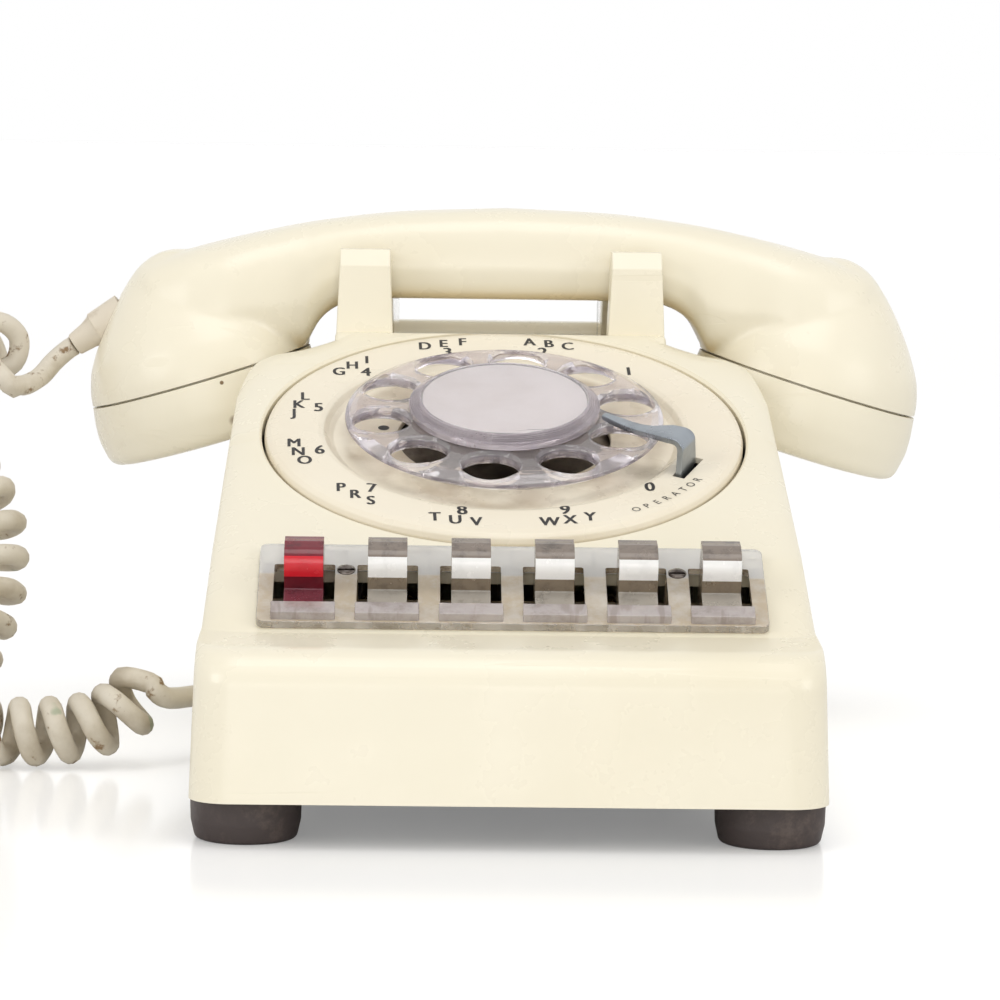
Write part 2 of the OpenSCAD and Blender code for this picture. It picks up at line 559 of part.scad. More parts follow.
module strip_screws() color("#77706a") on_keys() for (side = [-1, 1]) translate([side * screw_x, screw_v, 0])
  difference() {
    union() {
      translate([0, 0, strip_t - 0.7]) cylinder(r = 1.9, h = 0.8, $fn = SMOOTH);
      translate([0, 0, frame_h + 0.3]) cylinder(r = 1.2, h = strip_t - frame_h - 0.9, $fn = SMOOTH);
    }
    translate([-3, -0.3, strip_t - 0.3]) cube([6, 0.6, 1]);
  }
module key(i) on_keys() translate([key_x(i), 0, 0]) {
  // The cap is a bent paddle: rounded at its near upper edge and dished towards its far edge
  near = stem_v - 5.4;
  r = 3.6;
  toe = near - slot_near - 0.7;
  translate([-key_w / 2, 0, 0]) rotate([90, 0, 90]) linear_extrude(key_w) difference() {
    union() {
      translate([near - toe, -5.2]) square([toe + 1, strip_t + 1.2 + 5.2]);
      translate([near, -5.2]) square([key_depth, strip_t + key_h + 5.2 - r]);
      translate([near + r, -5.2]) square([key_depth - r, strip_t + key_h + 5.2]);
      translate([near + r, strip_t + key_h - r]) circle(r = r, $fn = SMOOTH);
    }
    translate([near + key_depth + 3, strip_t + key_h + 14]) circle(r = 15.4, $fn = SMOOTH);
  }
  // The stem, its flange and the pin inside the spring
  translate([-stem_w / 2, stem_v - stem_t / 2, flange_h]) cube([stem_w, stem_t, -flange_h - 5]);
  translate([-stem_w / 2 - 1.4, stem_v - stem_t / 2 - 1, flange_h]) cube([stem_w + 2.8, stem_t + 2, 1.4]);
  translate([0, stem_v, flange_h - 4]) cylinder(d = 2.4, h = 4.5, $fn = SMOOTH);
}
module key_1() color("#b01020") key(1);
module key_2() color("#a8a098", 0.8) key(2);
module key_3() color("#a8a098", 0.8) key(3);
module key_4() color("#a8a098", 0.8) key(4);
module key_5() color("#a8a098", 0.8) key(5);
module key_6() color("#a8a098", 0.8) key(6);
spring_r = 2.9;
module key_spring(i) color("silver") on_keys() translate([key_x(i), stem_v, frame_floor + frame_t + 0.1]) {
  // Close turns, drawn as a ribbed sleeve
  length = flange_h - frame_floor - frame_t - 0.3;
  turns = 8;
  step = length / turns;
  rotate_extrude($fn = 32) polygon(concat([for (k = [0:turns - 1], s = [0, 1])
      [spring_r + (s == 0 ? 0 : 0.35), step * (k + s / 2)]],
    [[spring_r, length], [spring_r - 0.7, length], [spring_r - 0.7, 0]]));
}
module key_spring_1() key_spring(1);
module key_spring_2() key_spring(2);
module key_spring_3() key_spring(3);
module key_spring_4() key_spring(4);
module key_spring_5() key_spring(5);
module key_spring_6() key_spring(6);
frame_l = 6 * key_pitch + 4;
frame_near = slot_near - 1;
frame_far = slot_far + 2.5;
module key_frame() color("darkgray") union() {
  on_keys() difference() {
    // A folded channel: a slotted top, two end cheeks and a floor under the springs
    union() {
      translate([-frame_l / 2, frame_near, frame_h - frame_t]) cube([frame_l, frame_far - frame_near, frame_t]);
      translate([-frame_l / 2, frame_near, frame_floor]) cube([frame_l, frame_far - frame_near, frame_t]);
      for (side = [-1, 1]) translate([side * (frame_l / 2 - frame_t / 2) - frame_t / 2, frame_near, frame_floor])
        cube([frame_t, frame_far - frame_near, frame_h - frame_floor]);
      for (side = [-1, 1]) translate([side * screw_x, screw_v, frame_h - 0.1])
        cylinder(r = 2.6, h = -frame_h - 0.1, $fn = SMOOTH);
    }
    for (i = [1:6]) translate([key_x(i) - stem_w / 2 - 0.3, stem_v - stem_t / 2 - 0.3, frame_h - 4])
      cube([stem_w + 0.6, stem_t + 0.6, 6]);
    for (side = [-1, 1]) translate([side * screw_x, screw_v, frame_h]) cylinder(r = 1.4, h = 20, $fn = SMOOTH);
  }
  // Legs down to the base plate
  for (side = [-1, 1]) difference() {
    translate([side * (frame_l / 2 - 1) - 1, key_top_y - 7.6, foot_h + plate_t]) cube([2, 13.6, 24]);
    on_keys() translate([-housing_w, -60, frame_floor + frame_t / 2]) cube([2 * housing_w, 80, 60]);
  }
}
module key_contacts() color("peru") on_keys() for (k = [0:4])
  translate([(k - 2) * key_pitch - 5, frame_near + 1.5, frame_floor + frame_t]) {
    cube([10, 4, 5]);
    for (j = [0:2]) translate([1 + 3 * j, 0.5, 5]) cube([0.6, 12, 0.5]);
  }

// ---------------------------------------------------------------- cradle switch

plunger_top = handle_z - run_gap;
plunger_low = lever_z + 2.2;
module plunger(side) color("#e8eef2", 0.5) translate([side * plunger_x, plunger_y, 0]) {
  plunger_shape(0, plunger_low + 3, plunger_top);
  plunger_shape(1.6, plunger_low, plunger_low + 3);
}
module plunger_left() plunger(-1);
module plunger_right() plunger(1);
lever_reach = plunger_y - lever_y;
lever_r = 2.6;
module hook_lever() color("darkgray") difference() {
  // A U-shaped rocker: an axle tube across the set with an arm under each plunger
  union() {
    translate([-plunger_x - 4, lever_y, lever_z]) rotate([0, 90, 0])
      cylinder(r = lever_r + 1, h = 2 * plunger_x + 8, $fn = SMOOTH);
    for (side = [-1, 1]) translate([side * plunger_x - 3, lever_y, lever_z - 0.4])
      cube([6, lever_reach + 3, 2]);
    translate([-3, lever_y + 1, lever_z - 12]) cube([6, 1.8, 12]);
  }
  translate([-plunger_x - 9, lever_y, lever_z]) rotate([0, 90, 0])
    cylinder(r = lever_r - 1 + shaft_gap, h = 2 * plunger_x + 18, $fn = SMOOTH);
}
module hook_bracket() color("gainsboro") {
  // A stamped bridge with two cheeks that hold the axle pin
  translate([-plunger_x - 8, lever_y, lever_z]) rotate([0, 90, 0])
    cylinder(r = lever_r - 1, h = 2 * plunger_x + 16, $fn = SMOOTH);
  for (side = [-1, 1]) translate([side * (plunger_x + 6) - 1.2, lever_y - 2.5, foot_h + plate_t])
    cube([2.4, 8, lever_z - foot_h - plate_t + 5]);
  translate([-plunger_x - 6, lever_y - 2.5, switch_z - 2.4]) cube([2 * plunger_x + 12, 14, 2.4]);
}
module hook_contacts() color("peru") translate([-7, lever_y + 2, switch_z]) {
  cube([14, 9.4, 8]);
  for (k = [0:2]) translate([2 + 4 * k, 5.4 + 1.6 * k, 8]) cube([2, 0.5, 9]);
}

// ---------------------------------------------------------------- base electrics

network_size = [62, 44, 24];
network_at = [-20, -46, foot_h + plate_t];
module network_block() color("dimgray") translate(network_at) difference() {
  cube(network_size);
  for (i = [0:5], j = [0, 1]) translate([7 + 9.6 * i, 8 + 28 * j, network_size.z - 6])
    cylinder(r = 1.4, h = 8, $fn = SMOOTH);
}
module network_terminals() color("silver") translate(network_at) for (i = [0:5], j = [0, 1])
  translate([7 + 9.6 * i, 8 + 28 * j, network_size.z - 4]) {
    cylinder(r = 1.35, h = 5, $fn = SMOOTH);
    translate([0, 0, 4.1]) cylinder(r = 2.8, h = 1.6, $fn = SMOOTH);
  }
module ringer_frame() color("silver") union() {
  // A cross-bar under the gongs and a spine under the clapper
  translate([-gong_x - 8, gong_y - 3.5, foot_h + plate_t]) cube([2 * gong_x + 16, 7, 1.5]);
  translate([-6, gong_y - 24, foot_h + plate_t]) cube([12, 24, 1.5]);
  for (side = [-1, 1]) translate([side * gong_x, gong_y, foot_h + plate_t]) {
    cylinder(r = 3.4, h = gong_z - foot_h - plate_t, $fn = SMOOTH);
    cylinder(r = 1.9, h = gong_h + 9, $fn = SMOOTH);
  }
  translate([0, gong_y - 19, foot_h + plate_t]) cylinder(r = 1.5, h = 14, $fn = SMOOTH);
}
module gong() color("goldenrod") rotate_extrude($fn = SMOOTH) polygon(concat(
  [for (a = [0:15:90]) [gong_d / 2 * cos(a) < 2.1 ? 2.1 : gong_d / 2 * cos(a), gong_h * (1 - pow(cos(a), 2))]],
  [for (a = [90:-15:0]) [max((gong_d / 2 - 1.2) * cos(a), 2.1), (gong_h - 1.2) * (1 - pow(cos(a), 2))]]));
module gong_left() translate([-gong_x, gong_y, gong_z]) gong();
module gong_right() translate([gong_x, gong_y, gong_z]) gong();
module ringer_coil() color("#5a2f1a") translate([-15, gong_y - 40, foot_h + plate_t]) {
  cube([30, 14, 1.6]);
  translate([2, 7, 9]) rotate([0, 90, 0]) {
    cylinder(r = 6.2, h = 26, $fn = SMOOTH);
    for (x = [0, 24.4]) translate([0, 0, x]) cylinder(r = 8, h = 1.6, $fn = SMOOTH);
  }
}
clapper_z = foot_h + plate_t + 10;
module clapper() color("silver") translate([0, gong_y - 19, 0]) difference() {
  union() {
    translate([0, 0, clapper_z]) cylinder(r = 3.2, h = 3, $fn = SMOOTH);
    translate([-0.7, 0, clapper_z + 0.8]) cube([1.4, 16, 1.4]);
    translate([0, 18, clapper_z + 1.5]) sphere(r = 2.4, $fn = 32);
    translate([-6, -4.4, clapper_z + 0.5]) cube([12, 2.4, 2]);
  }
  translate([0, 0, clapper_z - cut]) cylinder(r = 1.5 + shaft_gap, h = 9, $fn = SMOOTH);
}
module loudness_wheel() color("#333333") translate([loud_x, loud_y, foot_h + loud_rise]) rotate([90, 0, 0]) {
  difference() {
    translate([0, 0, -1.4]) linear_extrude(2.8) polygon([for (k = [0:47]) let (r = loud_d / 2 - (k % 2) * 0.5)
      [r * cos(7.5 * k), r * sin(7.5 * k)]]);
    translate([0, 0, -5]) cylinder(r = 1.5 + shaft_gap, h = 10, $fn = SMOOTH);
  }
}

// ---------------------------------------------------------------- handset

crown_drop = [[0, 0], [25, 1], [48, 3.7], [63, 6.7], [71, 8.6], [78.5, 10.6], [86, 13], [92, 15.3]];
under_drop = [[0, 0], [36, 0], [40, 0.9], [44, 2.6], [47, 5], [49.2, 8.2], [50.6, 12], [56, 12.6],
  [92, 12.6]];
side_grow = [[0, 0], [38, 0], [44.5, 0.2], [50, 1.4], [60, 3.6], [72, 6.6], [80, 6], [86, 3.8], [92, 0.6]];
handle_stops = [-92, -86, -80, -70, -60, -54, -50.6, -49.2, -47, -44, -40, -36, -24, -12, 0,
  12, 24, 36, 40, 44, 47, 49.2, 50.6, 54, 60, 70, 80, 86, 92];
seam_gap = 0.3;
pad_fall = lookup(ear_x - 0.4 + pad_w + handset_shift, under_drop) + 0.2;
function seam_line(x) = seam_z + (seam_x - abs(x)) * tan(cap_tilt);
function handle_ring(x) = let (a = abs(x), top = crown_top - lookup(a, crown_drop),
    low = max(handle_z - lookup(a, under_drop), a > 50 ? seam_line(x) + seam_gap : 0),
    w = handle_w / 2 + lookup(a, side_grow), h = top - low)
  [[x, w * 0.62, low], [x, w * 0.8, low + 0.06 * h], [x, w, low + 0.36 * h], [x, w * 0.97, low + 0.55 * h],
   [x, w * 0.84, low + 0.78 * h], [x, w * 0.62, low + 0.92 * h], [x, w * 0.32, low + 0.985 * h], [x, 0, top],
   [x, -w * 0.32, low + 0.985 * h], [x, -w * 0.62, low + 0.92 * h], [x, -w * 0.84, low + 0.78 * h],
   [x, -w * 0.97, low + 0.55 * h], [x, -w, low + 0.36 * h], [x, -w * 0.8, low + 0.06 * h],
   [x, -w * 0.62, low]];
module on_handset() {
  translate([handset_shift, handle_y, 0]) children();
}
module on_cap(side) {
  on_handset() translate([side * seam_x, 0, seam_z]) rotate([0, side * cap_tilt, 0]) children();
}
// The hood's outline as shares of its radius and its height
hood_line = [[1, 0], [0.99, 0.075], [0.969, 0.15], [0.928, 0.254], [0.862, 0.352], [0.79, 0.448], [0.7, 0.552],
  [0.6, 0.657], [0.483, 0.764], [0.379, 0.848], [0.276, 0.919], [0.14, 0.975], [0, 1]];
module hood(r, h) {
  rotate_extrude($fn = SMOOTH) polygon(concat([[0, 0]], [for (p = hood_line) [r * p.x, h * p.y]]));
}
module handset_handle() color("ivory") difference() {
  union() {
    on_handset() loft([for (x = handle_stops) handle_ring(x)]);
    for (side = [-1, 1]) on_cap(side) translate([0, 0, seam_gap]) hood(seam_r, hood_h);
  }
  for (side = [-1, 1]) on_cap(side) {
    translate([0, 0, -cut]) cylinder(r = cap_neck_r + 0.1, h = 7 + cut, $fn = SMOOTH);
    translate([0, 0, 6]) cylinder(r1 = unit_r - 3, r2 = unit_r - 11, h = 11, $fn = SMOOTH);
  }
  // The hole that the cord's grommet sits in
  translate(grommet_at) rotate(grommet_turn) translate([0, 0, -9]) cylinder(r = 4.8, h = 17, $fn = SMOOTH);
}
module cap_body(t) difference() {
  // A screwed cap: a bellied cup with a crowned face and a neck that enters the handle
  union() {
    rotate_extrude($fn = SMOOTH) polygon([[0, -t - 0.8], [12, -t - 0.7], [seam_r - 5, -t - 0.4],
      [seam_r - 2.4, -t], [seam_r - 0.7, -t + 1.1], [seam_r + 0.3, -t + 3.2], [seam_r + 0.8, -t * 0.55],
      [seam_r + 0.7, -t * 0.25], [seam_r, -0.8], [seam_r - 0.3, -seam_gap], [0, -seam_gap]]);
    translate([0, 0, -1]) cylinder(r = cap_neck_r, h = 6.6, $fn = SMOOTH);
  }
  translate([0, 0, -t + 2.6]) cylinder(r = unit_r + 0.3, h = 30, $fn = SMOOTH);
}
module transmitter_cap() color("ivory") on_cap(-1) difference() {
  cap_body(cap_t);
  for (ring = [0:2], k = [0:max(ring * 6 - 1, 0)]) rotate([0, 0, ring > 0 ? 60 * k / ring : 0])
    translate([6.4 * ring, 0, -cap_t - 2]) cylinder(d = 2.6, h = 8, $fn = SMOOTH);
}
module receiver_cap() color("ivory") on_cap(1) difference() {
  cap_body(cap_t + receiver_more);
  for (k = [0:6]) rotate([0, 0, 60 * k]) translate([k < 6 ? 6 : 0, 0, -cap_t - 4])
    cylinder(d = 2.2, h = 10, $fn = SMOOTH);
}
module capsule(side) on_cap(side) translate([0, 0, -cap_t - (side > 0 ? receiver_more : 0)]) {
  translate([0, 0, 2.7]) cylinder(r = unit_r, h = 7, $fn = SMOOTH);
  translate([0, 0, 9.6]) cylinder(r = unit_r - 4, h = 8, $fn = SMOOTH);
}
module transmitter_unit() color("silver") capsule(-1);
module receiver_unit() color("dimgray") capsule(1);
grommet_at = [-102.4, handle_y, 100.3];
grommet_turn = [0, -125, 0];
module handset_grommet() color("#c9bfae") translate(grommet_at) rotate(grommet_turn)
  rotate_extrude($fn = SMOOTH) polygon([[0, -7.6], [4.7, -7.6], [4.7, 2.6], [4, 5], [cord_r + 0.4, 8.2], [0, 8.2]]);

// ---------------------------------------------------------------- cord and its inlets

module side_grommet() color("#b5ab9a") translate([-half_width(cord_in_y, cord_in_z), cord_in_y, cord_in_z])
  rotate([0, -90, 0]) rotate_extrude($fn = SMOOTH) polygon([[cord_r + 0.1, -7], [5.6, -7], [5.6, -wall - 0.5],
    [4, -wall - 0.3], [4, 0.2], [5.2, 0.4], [5, 2], [4, 3.4], [cord_r + 0.1, 3.4]]);
module rear_grommet() color("#2b211f") translate([inlet_x, rear_y - 2.2, cord_in_z]) rotate([-90, 0, 0])
  difference() {
    rotate_extrude($fn = SMOOTH) polygon([[0, -8], [6.8, -8], [6.8, -wall - 0.9], [5, -wall - 0.7],
      [5, 2.2], [4.3, 3], [0, 3]]);
    translate([0, 0, -4]) cylinder(r = 2.6, h = 9, $fn = SMOOTH);
  }
module cord_lead() color("#c9bfae") tube(lead_route, cord_r, 8);
module cord_hanging_coil() color("#c9bfae") tube(hang_route, coil_r, 12);
module cord_floor_coil() color("#c9bfae") tube(floor_route, coil_r, 12);
module cord_tail() color("#c9bfae") tube(tail_route, cord_r, 8);

housing();
base_plate();
feet();
housing_screws();
number_plate();
finger_stop();
dial_case();
dial_screws();
finger_wheel();
card_window();
number_card();
dial_shaft();
main_gear();
governor();
governor_cup();
pulse_springs();
key_strip();
designation_strip();
strip_screws();
key_1();
key_2();
key_3();
key_4();
key_5();
key_6();
key_spring_1();
key_spring_2();
key_spring_3();
key_spring_4();
key_spring_5();
key_spring_6();
key_frame();
key_contacts();
plunger_left();
plunger_right();
hook_lever();
hook_bracket();
hook_contacts();
network_block();
network_terminals();
ringer_frame();
ringer_coil();
gong_left();
gong_right();
clapper();
loudness_wheel();
handset_handle();
transmitter_cap();
receiver_cap();
transmitter_unit();
receiver_unit();
handset_grommet();
side_grommet();
rear_grommet();
cord_lead();
cord_hanging_coil();
cord_floor_coil();
cord_tail();
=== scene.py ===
import bpy, bmesh, math
from mathutils.bvhtree import BVHTree
from mathutils import Matrix, Vector


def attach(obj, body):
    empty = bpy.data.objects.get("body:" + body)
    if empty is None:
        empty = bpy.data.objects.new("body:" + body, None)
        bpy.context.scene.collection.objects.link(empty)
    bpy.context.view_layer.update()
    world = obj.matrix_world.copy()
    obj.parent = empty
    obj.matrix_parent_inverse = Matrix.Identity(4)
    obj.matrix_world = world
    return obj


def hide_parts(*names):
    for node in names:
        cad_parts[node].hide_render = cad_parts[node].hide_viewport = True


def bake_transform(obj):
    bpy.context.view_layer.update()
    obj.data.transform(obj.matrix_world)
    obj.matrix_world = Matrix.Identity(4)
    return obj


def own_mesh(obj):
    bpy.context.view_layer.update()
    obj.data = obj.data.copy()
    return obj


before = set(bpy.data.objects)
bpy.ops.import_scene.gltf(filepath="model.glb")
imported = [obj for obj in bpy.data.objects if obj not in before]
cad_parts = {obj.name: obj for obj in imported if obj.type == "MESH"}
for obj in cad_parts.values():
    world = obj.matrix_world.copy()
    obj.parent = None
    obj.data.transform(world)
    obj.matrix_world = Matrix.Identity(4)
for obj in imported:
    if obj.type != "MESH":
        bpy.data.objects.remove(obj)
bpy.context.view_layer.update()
scene = bpy.context.scene
scene.view_settings.view_transform = "Standard"

# ------------------------------------------------------------------ studio
# A still-life table: a long lens from the front, a white sheet under the set
# and round it, one broad lamp overhead, a soft one on each side and a low one in front.
pitch, yaw, roll = (math.radians(a) for a in (5.7354, 1.2332, 0.7994))
ahead = Vector((math.sin(yaw) * math.cos(pitch), math.cos(yaw) * math.cos(pitch), -math.sin(pitch)))
level = Vector((math.cos(yaw), -math.sin(yaw), 0))
above = level.cross(ahead)
across = level * math.cos(roll) + above * math.sin(roll)
upward = above * math.cos(roll) - level * math.sin(roll)
lens = bpy.data.cameras.new("table_camera")
lens.lens, lens.sensor_width, lens.clip_start, lens.clip_end = 151.24, 36, 0.05, 50
camera = bpy.data.objects.new("table_camera", lens)
camera.matrix_world = Matrix.Translation((-0.02226, -1.006, 0.16553)) @ Matrix(
    (across, upward, -ahead)).transposed().to_4x4()
scene.collection.objects.link(camera)
scene.camera = camera


def wire(tree, *pairs):
    for out, into in pairs:
        tree.links.new(out, into)


def ray_kinds(tree, kinds):
    # 1 where a ray of one of these kinds looks at the surface
    path = tree.nodes.new("ShaderNodeLightPath")
    total = path.outputs[kinds[0]]
    for kind in kinds[1:]:
        add = tree.nodes.new("ShaderNodeMath")
        add.operation, add.use_clamp = "ADD", True
        wire(tree, (total, add.inputs[0]), (path.outputs[kind], add.inputs[1]))
        total = add.outputs[0]
    return total


world = bpy.data.worlds.new("white_room")
world.use_nodes = True
room = world.node_tree
seen, fill, mix = (room.nodes.new(kind) for kind in ("ShaderNodeBackground", "ShaderNodeBackground",
                                                     "ShaderNodeMixShader"))
seen.inputs["Color"].default_value, seen.inputs["Strength"].default_value = (1, 1, 1, 1), 1
fill.inputs["Color"].default_value, fill.inputs["Strength"].default_value = (1, 0.99, 0.97, 1), 0.56
wire(room, (ray_kinds(room, ["Is Camera Ray", "Is Glossy Ray", "Is Transmission Ray"]), mix.inputs[0]),
     (fill.outputs[0], mix.inputs[1]), (seen.outputs[0], mix.inputs[2]),
     (mix.outputs[0], room.nodes["World Output"].inputs["Surface"]))
scene.world = world

for name, place, aim, size, watts in (("lamp_above", (0.1, -0.35, 1.3), (0, 0, 0.06), 0.9, 4.6),
                                      ("lamp_left", (-1.1, -0.75, 0.65), (0, 0, 0.07), 0.7, 3.7),
                                      ("lamp_right", (1.15, -0.7, 0.6), (0, 0, 0.07), 0.7, 3.4),
                                      ("lamp_front", (-0.15, -1.6, 0.22), (0, 0, 0.08), 0.8, 3.6)):
    lamp = bpy.data.lights.new(name, "AREA")
    lamp.shape, lamp.size, lamp.energy, lamp.color = "DISK", size, watts, (1, 0.99, 0.975)
    holder = bpy.data.objects.new(name, lamp)
    facing = (Vector(aim) - Vector(place)).to_track_quat("-Z", "Y")
    holder.matrix_world = Matrix.Translation(place) @ facing.to_matrix().to_4x4()
    scene.collection.objects.link(holder)

sheet_mesh = bpy.data.meshes.new("table_sheet")
sheet_mesh.from_pydata([(-4, -3, 0), (4, -3, 0), (4, 9, 0), (-4, 9, 0)], [], [(0, 1, 2, 3)])
table = bpy.data.objects.new("table_sheet", sheet_mesh)
scene.collection.objects.link(table)
gloss = bpy.data.materials.new("white_table")
gloss.use_nodes = True
coat = gloss.node_tree.nodes["Principled BSDF"]
coat.inputs["Base Color"].default_value = (0.93, 0.93, 0.93, 1)
coat.inputs["Roughness"].default_value = 0.16
coat.inputs["Specular IOR Level"].default_value = 0.1
coat.inputs["Emission Color"].default_value = (1, 1, 1, 1)
glow = gloss.node_tree.nodes.new("ShaderNodeMath")
glow.operation = "MULTIPLY"
glow.inputs[1].default_value = 0.2
wire(gloss.node_tree, (ray_kinds(gloss.node_tree, ["Is Camera Ray"]), glow.inputs[0]),
     (glow.outputs[0], coat.inputs["Emission Strength"]))
sheet_mesh.materials.append(gloss)

# ------------------------------------------------------------ handset cord
# The coiled cord is a round lead in soft grey-beige vinyl, wound hot on a rod
# so that it keeps its turns. One length runs from the handset's left end to
# the grommet in the housing's left side, and its turns hang wider apart than they lie.
cord_thickness = 0.0052
turn_radius = 0.0060
lead_route = [(-109.23, 76, 95.5), (-111.4, 76, 93.98), (-114.2, 73.5, 91.4), (-117.2, 67.2, 87.9),
              (-121, 61.4, 86.1), (-125.2, 59.9, 86.7)]
hang_route = [(-127.6, 63.6, 95.5), (-128.1, 68.5, 95.4), (-130, 73, 94.3), (-133.5, 76.3, 91.5),
              (-137.5, 77.2, 87), (-140.3, 75, 81.5), (-141.2, 70, 76.5), (-140.3, 63.5, 72),
              (-137.8, 57, 68.5), (-134, 50.5, 65), (-129.6, 44.3, 60), (-126.4, 39, 53.3),
              (-125, 33.5, 45), (-125.5, 27.5, 36), (-128, 21, 27.5), (-132, 14, 19.5)]
floor_route = [(-134.6, 7, 13.4), (-134.5, 1, 10), (-131.4, -5, 9), (-126, -9.5, 8.8), (-119, -11.7, 8.7),
               (-112.5, -12, 8.8), (-105.2, -12, 9.4), (-97.9, -11.5, 10.6), (-91, -10.3, 13.4),
               (-86.4, -8, 17.4)]
tail_route = [(-83.7, -9.5, 20.4), (-82.4, -10.4, 18.7), (-80.4, -9.1, 17), (-78, -4.2, 16.1),
              (-75.6, 0.8, 15.7), (-73.2, 4.3, 15.5), (-70.8, 5, 15.5), (-66, 5, 15.5), (-62, 5, 15.5)]


def through(points, step):
    # A smooth line through the points, with a new point every step
    knots = [Vector(p) / 1000 for p in points]
    knots = [2 * knots[0] - knots[1]] + knots + [2 * knots[-1] - knots[-2]]
    line = []
    for a, b, c, d in zip(knots, knots[1:], knots[2:], knots[3:]):
        for k in range(24):
            t = k / 24
            line.append(0.5 * (2 * b + (c - a) * t + (2 * a - 5 * b + 4 * c - d) * t * t
                               + (3 * b - a - 3 * c + d) * t ** 3))
    line.append(knots[-2])
    even, left = [line[0]], step
    for a, b in zip(line, line[1:]):
        gap = (b - a).length
        while gap >= left:
            a = a + (b - a) * (left / gap)
            even.append(a)
            gap -= left
            left = step
        left -= gap
    return even + [line[-1]] if (even[-1] - line[-1]).length > step * 0.3 else even


def wound(axis, radius, pitch, start, end_up):
    # A helix round an axis, which starts at an angle and ends at its top; radius and
    # pitch follow the share of the way
    ahead = [(b - a).normalized() for a, b in zip(axis, axis[1:])]
    ahead.append(ahead[-1])
    side, sides, turn = ahead[0].cross(Vector((0, 1, 0.2))).normalized(), [], [0.0]
    for i, way in enumerate(ahead):
        side = (side - way * side.dot(way)).normalized()
        sides.append(side)
        if i + 1 < len(axis):
            turn.append(turn[-1] + 2 * math.pi * (axis[i + 1] - axis[i]).length / pitch(i / len(axis)))
    last = math.atan2(end_up.dot(ahead[-1].cross(side)), end_up.dot(side))
    total = last - start + 2 * math.pi * round((turn[-1] - last + start) / (2 * math.pi))
    line = []
    for i, (point, way, side) in enumerate(zip(axis, ahead, sides)):
        angle = start + turn[i] * total / turn[-1]
        outward = math.cos(angle) * side + math.sin(angle) * way.cross(side)
        line.append(point + radius(i / len(axis)) * outward)
    return line


def smooth_step(t):
    # 0 to 1 without a corner at either end
    t = min(max(t, 0), 1)
    return t * t * (3 - 2 * t)


def mesh_object(name, points, faces, smooth=True):
    # A mesh from points in metres
    mesh = bpy.data.meshes.new(name)
    mesh.from_pydata([tuple(p) for p in points], [], faces)
    mesh.polygons.foreach_set("use_smooth", [smooth] * len(mesh.polygons))
    mesh.validate()
    body = bpy.data.objects.new(name, mesh)
    scene.collection.objects.link(body)
    return body


def circle_of(steps):
    # Cosine and sine of equal steps round a circle
    return [(math.cos(2 * math.pi * k / steps), math.sin(2 * math.pi * k / steps)) for k in range(steps)]


def tube_along(name, line, radius, sides):
    # A round tube round a line, with closed ends and its length kept as an attribute
    way = [(b - a).normalized() for a, b in zip(line, line[1:])]
    way = [way[0]] + [(a + b).normalized() for a, b in zip(way, way[1:])] + [way[-1]]
    side = way[0].orthogonal().normalized()
    points, faces = [], []
    for point, d in zip(line, way):
        side = (side - d * side.dot(d)).normalized()
        up = d.cross(side)
        points += [point + radius * (c * side + s * up) for c, s in circle_of(sides)]
    for j in range(len(line) - 1):
        for k in range(sides):
            a, b = j * sides + k, j * sides + (k + 1) % sides
            faces.append((a, b, b + sides, a + sides))
    faces += [tuple(reversed(range(sides))), tuple(range((len(line) - 1) * sides, len(line) * sides))]
    return mesh_object(name, points, faces)


coil_axis = through(hang_route + floor_route, 0.0004)
coil_turns = wound(coil_axis, lambda s: turn_radius + 0.0014 * (1 - smooth_step(s / 0.03)),
                   lambda s: 0.0088 - 0.0012 * smooth_step((s - 0.55) / 0.15), math.pi * 0.56,
                   Vector((0, 0, 1)))
rough_line = [p * 1000 for p in through(lead_route, 0.002)[:-1] + coil_turns[5::4]] + tail_route
cord_line = through([tuple(p) for p in rough_line], 0.0014)
cord = tube_along("coiled_cord", cord_line, cord_thickness / 2, 12)


def finish(name, rough, colour=(0.8, 0.8, 0.8), **more):
    # A new material whose constant numbers stand on the shader's own sockets
    made = bpy.data.materials.new(name)
    made.use_nodes = True
    skin = made.node_tree.nodes["Principled BSDF"]
    skin.inputs["Roughness"].default_value = rough
    skin.inputs["Base Color"].default_value = (*colour, 1)
    for key, value in more.items():
        skin.inputs[key.replace("_", " ")].default_value = value
    return made


def linear(r, g, b):
    # An sRGB colour, 0 to 255, as Blender's linear numbers
    return tuple(((c / 255 + 0.055) / 1.055) ** 2.4 if c > 10 else c / 3294.6 for c in (r, g, b))


